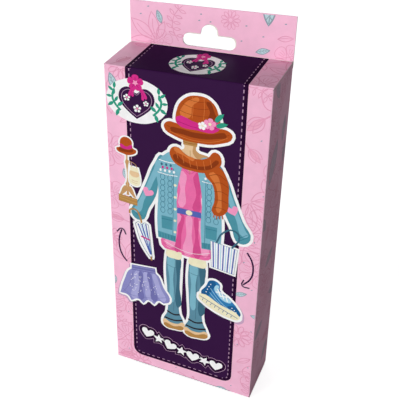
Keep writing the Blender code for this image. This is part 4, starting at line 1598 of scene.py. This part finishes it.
class Extras:
    """The smaller pictures of the front: hat stand, pleated skirt, trainer, marks and garland."""

    @staticmethod
    def stand() -> Artwork:
        """A turned hat stand with a hat and a shoulder bag, on a kraft block.

        Returns:
            The picture.
        """
        return Artwork().draw("""
            pole = -38,144! -36,144! -36.4,150 -35.6,152 -36.4,154 -36.2,166 -35.8,168 -36.4,170 -36.6,178 -37.4,178
                -37.6,170 -38.2,168 -37.8,166 -37.6,154 -38.4,152 -37.6,150
            hat = -44,176.4 -39,173.4 -34,173.6 -30.4,177 -33,178.6 -33.4,183 -36.4,185.4
                -40,184.4 -41.4,181 -41.2,178.2
            bag = -34.6,165.6! -29.6,165! -28.4,155 -29.4,152.6 -34.6,153 -36,155.6
            leg = -37.4,151 -43,143! -41.4,143! -37,148.6
            other = -36.8,151 -31.4,143! -33,143! -37,148.6
            border 13 @1.0 pole / hat / bag / leg / other
            SAND_DARK 14 pole / leg / other
            SAND 14 ~0.3 -37.2,150 -37.1,164 / -37.3,170 -37.2,177
            AUBURN 15 hat
            AUBURN_DARK 16 -42.4,176.6 -37,175 -32.4,177 -36,176.6
            MAGENTA 16 -41.2,178.4 -37,177 -33.2,178.8 -33.3,180.4 -37,178.8 -41.3,180
            SAND_DARK 15 ~0.35 -36.4,169.4 -34,166 -33.8,164.6 / -36.2,169.4 -31,167 -30.4,164.6
            FLEECE 16 bag
            SAND 17 -34.9,162.6! -29.3,162! -28.9,159.6 -32,158.2 -35.3,160.2
            SAND_DARK 17 ~0.25 -34,156 -32,155.4 -30,155.6 / -34,154.6 -32,154 -30.2,154.2
            KRAFT 15 -43.6,143.6! -30.6,142.4! -30.6,137.2! -43.6,138.4!
            KRAFT_LIGHT 16 ~0.35 -43.4,142.4 -30.8,141.2 / -43,140.6 -36,140 / -38,139.6 -31,138.9
        """)

    @staticmethod
    def cut(width: float, level: float, across: float, up: float, *outlines: Path) -> Artwork:
        """Starts a die-cut picture with its border, and the shade that it casts on the panel.

        Args:
            width: the border's width.
            level: the border's level.
            across: how far the shade falls across.
            up: how far it falls up.
            outlines: the picture's parts.

        Returns:
            The picture without its inks.
        """
        art = Artwork()
        art.border(level, width, *outlines)
        art.border(3, width, *[moved(outline, across, up) for outline in outlines], ink=Ink.SHADE)
        return art

    @staticmethod
    def skirt() -> Artwork:
        """A pleated lilac skirt.

        Returns:
            The picture.
        """
        band = drawn("-36,89! -19,90.6! -18.6,86.4! -36.2,84.6!")
        body = drawn("-36,85.6 -19,87 -13,76 -8.6,66 -13,62.6! -16.6,63.8 -20,59.4! -24,62 -28,57.8! -31.6,60.6 "
                     "-37,57.6! -39.6,61.4 -45.4,62! -42,74")
        chance = random.Random(8)
        dots = [oval(chance.uniform(-38, -17), chance.uniform(66, 82), 0.3, 0.3, count=4) for _ in range(46)]
        return Extras.cut(1.5, 14, -0.9, -1.3, band, body).draw("""
            LILAC 15 body
            LILAC_LIGHT 16 -33,84.6 -30.6,84.8 -31,72 -33.6,60 -36.6,60.4 -34.4,72
                / -27,85.4 -24.8,85.6 -23.6,73 -21.4,61.4 -25,62.8 -26.6,73
                / -20.8,85.8 -19.4,86 -15,75 -12,64.4 -15.4,65 -18.6,75
            LILAC_DARK 16 -30.4,84.8 -28.8,85 -28.6,72 -29,60.4 -31.4,61.4 -30.4,72
                / -24.4,85.6 -22.8,85.8 -20.4,74 -17.4,64.8 -20,62 -22.6,73
            LILAC_DARK 17 ~0.3 -35,84 -38,72 -43,63.4 / -43.4,66 -37,62.4 -30,63 -22,64.4 -11,68.4
            LILAC_DARK 17 band
            LILAC_LIGHT 18 ~0.3 -35.8,88 -19.2,89.6 / -35.9,85.8 -18.9,87.4
            WHITE 18 dots
        """, band=[band], body=[body], dots=dots)

    @staticmethod
    def trainer() -> Artwork:
        """A blue lace-up trainer.

        Returns:
            The picture, round its own middle.
        """
        shoe = drawn("-13,9 -7,10 -4.6,5.6 3,3.4 11,-0.4 14.6,-5 13.4,-8.6! -12.6,-8.6! -14.2,-3 -13.6,3")
        sole = drawn("-14.2,-5.4 0,-5 14.6,-5.4 15,-8 12,-10.4 -12,-10.4 -14.6,-8")
        grooves = [drawn(f"{x},-8 {x},-9.8") for x in range(-11, 13, 3)]
        spots = drawn("-11.6,6 -11.8,3.6 -11.8,1 -11.6,-1.6 9.6,-2.8 11.2,-3.8 7.6,-2.2")
        return Extras.cut(1.7, 10, 1.6, -0.9, shoe, sole).draw("""
            BLUE 11 shoe
            BLUE_DARK 12 -13,9 -9.6,9.4 -9,3 -10.4,-5 -13.8,-5 -13.4,3 / 6,-1 11,-0.4 14.4,-5.2 5,-5.2
            SKY 12 -7.2,8.6 -5.4,5.2 3,3.2 5.4,1.8 2,-0.6 -5,1.6 -8.6,5
            WHITE 13 ~0.8 -6.4,5.8 -2.6,1.6 / -3,4.8 0.2,0.8 / 0.4,4.0 3,0.6 / -6.6,2.6 -2.4,5 / -2.8,1.4 1.6,4.0
            FLEECE 13 sole
            BLUE_DARK 14 ~0.4 -13.8,-7.4 0,-7.6 14,-7.4 / grooves
            SKY 13 ~0.35 -10.4,3 -4,-1 2,-3.6 8,-4.6 / -9.6,-0.4 -4,-3.2 0,-4.4
            WHITE 14 holes
        """, shoe=[shoe], sole=[sole], grooves=grooves, holes=[oval(x, y, 0.4, 0.4, count=4) for x, y, _ in spots])

    @staticmethod
    def marks(art: Artwork) -> None:
        """Draws the two curved marks between the pictures.

        Args:
            art: the picture that it becomes part of.
        """
        art.draw("""
            PLUM 8 ~1.05 -39.4,90.6 -42.6,95 -44.6,102 -44.4,109 -42.4,116
                / 41.6,121.6 44.8,116 46,109.4 44.6,102 40.4,96.4
            PLUM 8 ~0.9 -46,113.4 -42.2,116.8 -39.4,112.6 / 44.6,94.8 39.8,95.6 40.6,100.4
        """)

    @staticmethod
    def garland(art: Artwork) -> None:
        """Strings white hearts and stars where the panel would carry a word.

        Args:
            art: the picture that it becomes part of.
        """
        half, count = 25.2, 7

        def hung(share: float, top: float) -> Corner:
            """Where a share of the cord's length hangs."""
            return 2 * half * share - half, top - 11.4 * share - 2.2 * math.sin(math.pi * share)

        tips = [(radius, math.pi * i / 5) for i, radius in enumerate((5.0, 2.3) * 5)]
        kinds = ((drawn(HEART), 0.93), ([(r * math.sin(a), r * math.cos(a), True) for r, a in tips], 0.84))
        shapes = []
        for index in range(count):
            shape, size = kinds[index % 2]
            shapes.append(moved(shape, *hung(index / (count - 1), 32.0), -12 + 14 * math.sin(index * 2.2), size))
        art.draw("""
            STITCH 7 @4.9 shapes
            PLUM_DARK 8 @4.1 shapes
            STITCH 7 ~1.9 cord
            WHITE 9 ~0.55 cord
            WHITE 11 shapes
        """, shapes=shapes, cord=[[(*hung(k / 8, 32.8), False) for k in range(9)]])


@dataclass
class Prints:
    """Everything printed outside, face by face."""

    shell: Carton

    def front(self) -> None:
        """Prints the front wall."""
        art = Ground(5).strew((-49, 2), (49, 229), lambda x, y: abs(x) < 33 and y > 12)
        art.stamp(Panel().draw())
        art.stamp(Ground().leaf(), -44.6, 220.5, 108, 1.4)
        art.stamp(Emblem.draw(), -29.5, 210.3)
        art.stamp(Outfit().draw(), 0.2, 8.8, 0, 0.96)
        art.stamp(Extras.stand())
        art.stamp(Extras.skirt())
        art.stamp(Extras.trainer(), 28, 80, -22)
        Extras.marks(art)
        Extras.garland(art)
        half, low, high = 49.2, 0.72, self.shell.front_top + 0.1
        Print("front_print", Side.FRONT, (0, self.shell.front, 0)).lay(art, (-half, low), (half, high))

    def header(self) -> None:
        """Prints both faces of the header, clear of its slot."""
        art, ground = Artwork(), Ground()
        blooms = ((Bloom.DAISY, 12.7, 251, 0, 0.8), (Bloom.LILY, -33, 233, 52, 1.15),
                  (Bloom.SPRAY, -21.5, 246, 84, 1.0), (Bloom.PEONY, -29.5, 233.5, 20, 0.62),
                  (Bloom.LEAFLET, 40, 243, 8, 1.0), (Bloom.PEONY, 47, 232, 0, 0.75))
        for kind, *spot in blooms:
            art.stamp(ground.bloom(kind), *spot)
        for spot in ((-31, 248.4, 110, 1.0), (32.2, 234.8, 14, 1.0), (34.5, 258.5, -90, 2.0)):
            art.stamp(ground.leaf(), *spot)
        ticks = drawn("-38,254 -5,252.6 -6,248.8 0.8,248.6 22,248.6 32,243.4 19.6,239.4 -43,249 44,252")
        art.fill(Ink.LEAF_LINE, 2, *[oval(x, y, 0.6, 0.34, 10, count=4) for x, y, _ in ticks])
        half, top = 49.8, 256.5
        Print("header_print", Side.FRONT, (0, 18.55, 0)).lay(art, (-half, self.shell.height + 0.1), (half, top))
        Print("header_print_rear", Side.BACK, (0, 19.43, 0)).lay(art, (-half, 227.1), (half, top))

    def lids(self) -> None:
        """Prints the two lids, the badge on the top one."""
        half, near, far = 49.7, 18.7, 18.1  # to the front crease and to the back
        lids = (("top", Side.TOP, self.shell.height - 0.05, 11, near, far),
                ("bottom", Side.BOTTOM, 0.08, 23, far, near))
        for end, side, height, seed, low, high in lids:
            art = Ground(seed).strew((-44, -16), (44, 16), lambda x, y: abs(x) < 39, leaves=False)
            art.stamp(Panel(low=-30, high=30, corner=2.0).draw(square=True))
            if side is Side.TOP:
                art.stamp(Emblem.draw(), 1.0, -2.5, 0, 0.83, 0.97)
            Print(f"{end}_lid_print", side, (0, 0, height), LID_INK).lay(art, (-half, -low), (half, high))

    def walls(self) -> None:
        """Prints the two sides and the back."""
        walls = (("left", Side.LEFT, -1, 31, -18.2, 18.5), ("right", Side.RIGHT, 1, 37, -18.5, 18.2))
        for name, side, x, seed, low, high in walls:
            ground = Ground(seed, leaf_size=1.9, tints=(Ink.WALL_LEAF, Ink.WALL_VEIN))
            art = ground.strew((-17, 3), (17, 228), lambda x, y: False)
            art.stamp(ground.leaf(), x * -8, 180, 90 - x * 25, 3.2, lift=1)
            art.stamp(ground.leaf(), x * 14.5, 176, 90 - x * 8, 1.6, lift=1)
            Print(f"{name}_print", side, (x * self.shell.half_width, 0, 0)).lay(art, (low, 1.4), (high, 229.6))
        art = Ground(41).strew((-48, 2), (48, 224), lambda x, y: abs(x) < 33 and y > 12)
        art.stamp(Panel().draw())
        art.stamp(Emblem.draw(), 0, 200)
        self.contents(art)
        Print("back_print", Side.BACK, (0, self.shell.back, 0)).lay(art, (-49.2, 0.2), (49.2, 226.9))

    @staticmethod
    def contents(art: Artwork) -> None:
        """Shows what is inside on the back wall, as small die-cut pictures.

        Args:
            art: the picture that it becomes part of.
        """
        art.stamp(Extras.trainer(), -17, 62, -12, 0.8)
        art.stamp(Extras.stand(), 8, 34, 0, 0.84)
        art.stamp(Outfit().draw(), 12, 36, 0, 0.7)
        art.stamp(Extras.skirt(), 12, 38, 0, 0.84)
        Extras.garland(art)

    def build(self) -> None:
        """Lays every print."""
        self.front()
        self.header()
        self.lids()
        self.walls()


SHOE = """
    FLEECE 4 -0.8,-0.5! 0.76,-0.5! 0.6,-0.7! -0.74,-0.7!
    WHITE 4 ~0.45 -0.44,0.42 -0.24,0.56 / -0.3,0.2 -0.1,0.32 / -0.12,0.04 0.08,0.12
    BLUE_DARK 5 ~0.35 -0.8,0.46 -0.6,0.5 -0.4,0.7 / -0.84,-0.24 -0.4,-0.14 0,-0.36 0.5,-0.4 0.8,-0.46
"""
# The ten garments: the ink of each and its details, in shares of its half box.
GARMENTS = {
    "hat": (Ink.AUBURN, """
        MAGENTA 4 -0.56,-0.08 0,-0.22 0.56,-0.08 0.58,-0.3 0,-0.46 -0.58,-0.3
        AUBURN_DARK 3 ~0.35 -0.8,-0.6 0,-0.8 0.8,-0.6 / -0.4,0.4 0,0.3 0.4,0.4 / -0.3,0.7 0,0.62 0.3,0.7
            / -0.5,0.1 0,-0.02 0.5,0.1
        AUBURN_LIGHT 4 ~0.4 -0.34,0.76 -0.4,0.3 -0.44,0 / -0.7,-0.46 -0.2,-0.64
    """),
    "sunglasses": (Ink.MAGENTA, """
        lens = 0.26,0.3 0.5,0.44 0.76,0.42 0.8,0 0.62,-0.48 0.38,-0.42 0.26,-0.1
        DENIM 4 & lens
        MAGENTA_DARK 4 @0.3 & lens
        WHITE 5 ~0.7 -0.62,-0.2 -0.36,0.26 / 0.38,-0.2 0.64,0.26
    """),
    "jacket": (Ink.DENIM, """
        FLEECE 5 & 0.05,0.78 0.24,0.86 0.3,0.5 0.16,0.14 0.03,0.3
        DENIM_LINE 5 ~0.35 & 0.55,0.6 0.56,0.1 0.54,-0.8 / 0.68,-0.56 0.8,-0.7
        DENIM_LINE 5 @0.35 & 0.18,0! 0.46,0! 0.46,-0.2! 0.32,-0.3! 0.18,-0.2!
        DENIM_LINE 4 ~0.5 0,0.5 0,-0.86
        DENIM_LINE 4 ~0.35 -0.5,-0.76 0,-0.78 0.5,-0.76
        SLATE_DARK 6 buttons
    """),
    "blouse": (Ink.LILAC_LIGHT, """
        LILAC_DARK 4 ~0.35 & 0.5,0.66 0.5,0.2 0.5,-0.1 / 0.68,0.0 0.84,0.24
        WHITE 4 -0.24,0.82 0,0.6 0.24,0.82 0.14,0.4 0,0.3! -0.14,0.4
        LILAC_DARK 4 ~0.35 0,0.3 0,-0.84 / -0.5,-0.72 0,-0.76 0.5,-0.72
        WHITE 5 dots
    """),
    "dress": (Ink.PINK, """
        PINK_DARK 4 & 0.24,0.0 0.3,0.0 0.62,-0.76 0.44,-0.8
        PINK_DARK 4 ~0.35 & 0.06,0.74 0.18,0.84 0.36,0.76
        MAGENTA 5 -0.36,0.16 0,0.1 0.36,0.16 0.38,0.04 0,-0.02 -0.38,0.04
        PINK_LIGHT 4 -0.06,0.0 0.04,0.0 0.1,-0.82 -0.14,-0.82
        WHITE 5 ~0.35 -0.78,-0.74 -0.4,-0.84 0,-0.8 0.4,-0.84 0.78,-0.74
    """),
    "trousers": (Ink.SLATE, """
        DENIM_LINE 4 ~0.4 & 0.4,0.66! 0.52,0.5! 0.8,0.46! / 0.58,0.3! 0.6,-0.86! / 0.3,-0.84! 0.9,-0.84!
        SKY 4 & 0.42,0.0 0.5,0.02 0.54,-0.3 0.46,-0.34
        DENIM_DARK 4 -0.74,0.9! 0.74,0.9! 0.76,0.8! -0.76,0.8!
        DENIM_LINE 5 ~0.4 0,0.8 0,0.46 / 0.08,0.8 0.1,0.56 0,0.48
    """),
    "skirt": (Ink.LILAC, """
        LILAC_DARK 4 -0.44,0.86! 0.44,0.86! 0.48,0.68! -0.48,0.68!
        LILAC_DARK 4 ~0.4 pleats
        WHITE 5 ~0.35 -0.84,-0.66 -0.46,-0.8 0,-0.74 0.46,-0.8 0.84,-0.66
    """),
    "handbag": (Ink.BLUE, """
        FLEECE 4 0,0.74 0.34,0.62 0.42,0.28 0.3,0.22! 0,0.22! -0.3,0.22! -0.42,0.28 -0.34,0.62
        BLUE_DARK 4 -0.86,0.06! 0.86,0.06! 0.5,-0.3 0,-0.42 -0.5,-0.3
        SKY 5 ~0.35 -0.8,0 -0.46,-0.22 0,-0.34 0.46,-0.22 0.8,0 / -0.82,-0.66 0,-0.8 0.82,-0.66
        SAND 6 clasp
    """),
    "shoe_left": (Ink.BLUE, SHOE),
    "shoe_right": (Ink.BLUE, SHOE),
}


@dataclass
class Wardrobe:
    """The printed faces of the ten magnetic garments."""

    inset: float = 0.9  # mm, the white rim
    front: float = 6.2  # mm, where their faces lie along y

    def film(self, garment: str, ink: Ink) -> Piece:
        """Takes the garment's front face, leaves its white rim bare and makes the rest a film of ink.

        Args:
            garment: the CAD node.
            ink: the film's colour.

        Returns:
            The film.
        """
        piece = bpy.data.objects.new(f"{garment}_film", bpy.data.objects[garment].data.copy())
        bpy.context.scene.collection.objects.link(piece)
        piece.data.materials.clear()
        Bench.close(piece, 1e-6)
        Bench.pick(piece, "FACE", lambda middle, way: way.y > -0.9)
        bpy.ops.mesh.delete(type="FACE")
        bpy.ops.mesh.select_all(action="SELECT")
        bpy.ops.mesh.dissolve_limited(angle_limit=0.01)
        bpy.ops.mesh.select_all(action="SELECT")
        bpy.ops.mesh.inset(thickness=self.inset * MM, use_boundary=True, use_even_offset=True)
        bpy.ops.mesh.select_all(action="INVERT")
        bpy.ops.mesh.delete(type="FACE")
        Bench.modify(piece, "SOLIDIFY", thickness=2 * FILM * MM, offset=0)
        Bench.tint(piece, ink)
        return piece

    @staticmethod
    def details(garment: str, text: str) -> Artwork:
        """Draws a garment's details in its place, in millimetres.

        Args:
            garment: the CAD node.
            text: its details; their line widths are already millimetres.

        Returns:
            The drawing.
        """
        low, high = [Vector(corner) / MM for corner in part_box(garment)]
        middle, half = (low + high) / 2, (high - low) / 2
        drawing = Artwork().draw(
            text,
            buttons=[oval(0.06, y, 0.022, 0.022, count=4) for y in (0.1, -0.2, -0.5)],
            dots=[oval(x, y, 0.03, 0.03, count=4) for x in (-0.4, -0.2, 0.2, 0.4) for y in (-0.1, -0.34, -0.58)],
            pleats=[drawn(f"{x * 0.5},0.64 {x * 0.72},0 {x},-0.8") for x in (-0.66, -0.34, 0, 0.34, 0.66)],
            clasp=[oval(0, -0.38, 0.1, 0.16, count=6)],
        )
        art = Artwork()
        art.stamp(drawing, middle.x, middle.z, 0, half.x if garment != "shoe_left" else -half.x, half.z)
        return art

    def build(self) -> None:
        """Prints every garment."""
        for name, (ink, text) in GARMENTS.items():
            face = Print(f"{name}_print", Side.FRONT, (0, self.front, 0), GARMENT_INK, name)
            face.lay(self.details(name, text), base=self.film(name, ink))


class DollPrint:
    """The doll's printed front: hair, a plain face, a camisole and shorts."""

    @staticmethod
    def hair(art: Artwork) -> None:
        """Draws the auburn hair round the face and over the shoulders.

        Args:
            art: the picture that it becomes part of.
        """
        art.draw("""
            AUBURN 3 0,189.6 7,188 12.5,182.5 16.2,173 17.4,162 16.4,152 13.4,147.6 11.2,150 12.4,158 11.8,166 8,173
                0,175.5 -8,173 -11.8,166 -12.4,158 -11.2,150 -13.4,147.6 -16.4,152 -17.4,162 -16.2,173
                -12.5,182.5 -7,188
            AUBURN 4 & 12.4,149 15.4,147.6 17.4,141.4 16.4,134 13.2,131.4 11.6,136 12.6,142
            AUBURN_LIGHT 5 -11.6,167 -7.4,175.4 2,177.4 9,173.4 12,166 12.8,172.6 8,180.4 -2,183 -9.4,179.4
            AUBURN_DARK 6 ~0.35 & 14.6,170 15.8,161 14.6,152 / 13.4,146 15,141 13.6,135
            AUBURN_DARK 6 ~0.35 -10,171 -4,178.6 5,178.6 11,171 / -13,183 -5,187.6 5,187.6 13,181
        """)

    @staticmethod
    def face(art: Artwork) -> None:
        """Draws a simple face: dots for eyes, small nose, smile and cheeks.

        Args:
            art: the picture that it becomes part of.
        """
        art.draw("""
            BLACK 4 & eye
            WHITE 5 glints
            AUBURN_DARK 4 ~0.45 & 3.4,165.2 5.6,166.0 7.8,165.2
            PINK_LIGHT 3 & cheek
            SKIN_DARK 4 ~0.5 -0.7,156.6 0,156 0.7,156.6
            MAGENTA_DARK 4 ~0.6 -2.8,152.6 -1.4,151.7 0,151.4 1.4,151.7 2.8,152.6
            SKIN_DARK 3 ~0.45 -9.4,149.4 -5,146.6 0,145.8 5,146.6 9.4,149.4
        """, eye=[oval(5.4, 160.4, 1.35, 1.8)], cheek=[oval(8.4, 155.4, 1.9, 1.2)],
                 glints=[oval(x, 161.1, 0.42, 0.5, count=5) for x in (-4.9, 5.9)])

    @staticmethod
    def body(art: Artwork) -> None:
        """Draws the clothes and the lines of arms, hands, knees and feet.

        Args:
            art: the picture that it becomes part of.
        """
        art.draw("""
            FLEECE 3 -12.4,140! -9.4,140.4! -8.4,136.4 0,133 8.4,136.4 9.4,140.4! 12.4,140! 13.6,128 16.4,112!
                0,110 -16.4,112! -13.6,128
            FLEECE 4 -16.6,111! 0,109 16.6,111! 18.8,98! 1.2,96.4! 0.2,101! -0.8,96.4! -18.8,98!
            SAND_DARK 5 ~0.32 -16.2,112.4 0,110.2 16.2,112.4 / -8,138 -7.2,136 0,133.6 7.2,136 8,138
                / -18.2,100.2 -1.8,98.8 / 2,98.8 18.2,100.2 / -1.6,106.8 0,106 1.6,106.8 / 0,106 0.2,101.4
            SKIN_DARK 3 ~0.45 & 14.4,136 16.2,126 18.2,112 20.2,100 19.4,96.6 / 4.6,66.4 7.4,65.4 10.2,66.4
                / 5.4,25.2 9.2,24.6 13.6,25.6 / 23.4,96.6 24.2,94.6 23.8,92.8
            SKIN_DARK 3 ~0.5 0,99 0.2,70 0,46 0,24
        """)

    def build(self) -> None:
        """Prints the doll's steel face."""
        art = Artwork()
        self.hair(art)
        self.face(art)
        self.body(art)
        Print("doll_print", Side.FRONT, (0, -7.1, 0), STEEL_INK, "doll").lay(art)


def dress_cad() -> None:
    """Gives every CAD solid that stays visible its real material."""
    finishes = {
        "glue_flap": GREY_BACK, "inner_fitment": CARD, "magnet_sheet": SHEET_VINYL, "stand_block": BEECH,
        "doll_board": BIRCH, "doll_steel_face": STEEL, "top_tuck_flap": TUCK, "bottom_tuck_flap": TUCK,
        "top_dust_flap_left": DUST_TOP, "top_dust_flap_right": DUST_TOP,
        "bottom_dust_flap_left": DUST_BOTTOM, "bottom_dust_flap_right": DUST_BOTTOM,
        **dict.fromkeys(GARMENTS, GARMENT_VINYL),
    }
    for name, finish in finishes.items():
        node = bpy.data.objects[name]
        if not node.material_slots:
            node.data.materials.append(None)
        for holder in node.material_slots:
            holder.material = finish.material()


def main() -> None:
    """Builds everything in order and reports each piece."""
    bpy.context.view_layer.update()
    Studio().build()
    shell = Carton()
    shell.build()
    Prints(shell).build()
    Wardrobe().build()
    DollPrint().build()
    dress_cad()


if __name__ == "__main__":
    logging.basicConfig(level=logging.INFO, format="%(message)s")
    main()
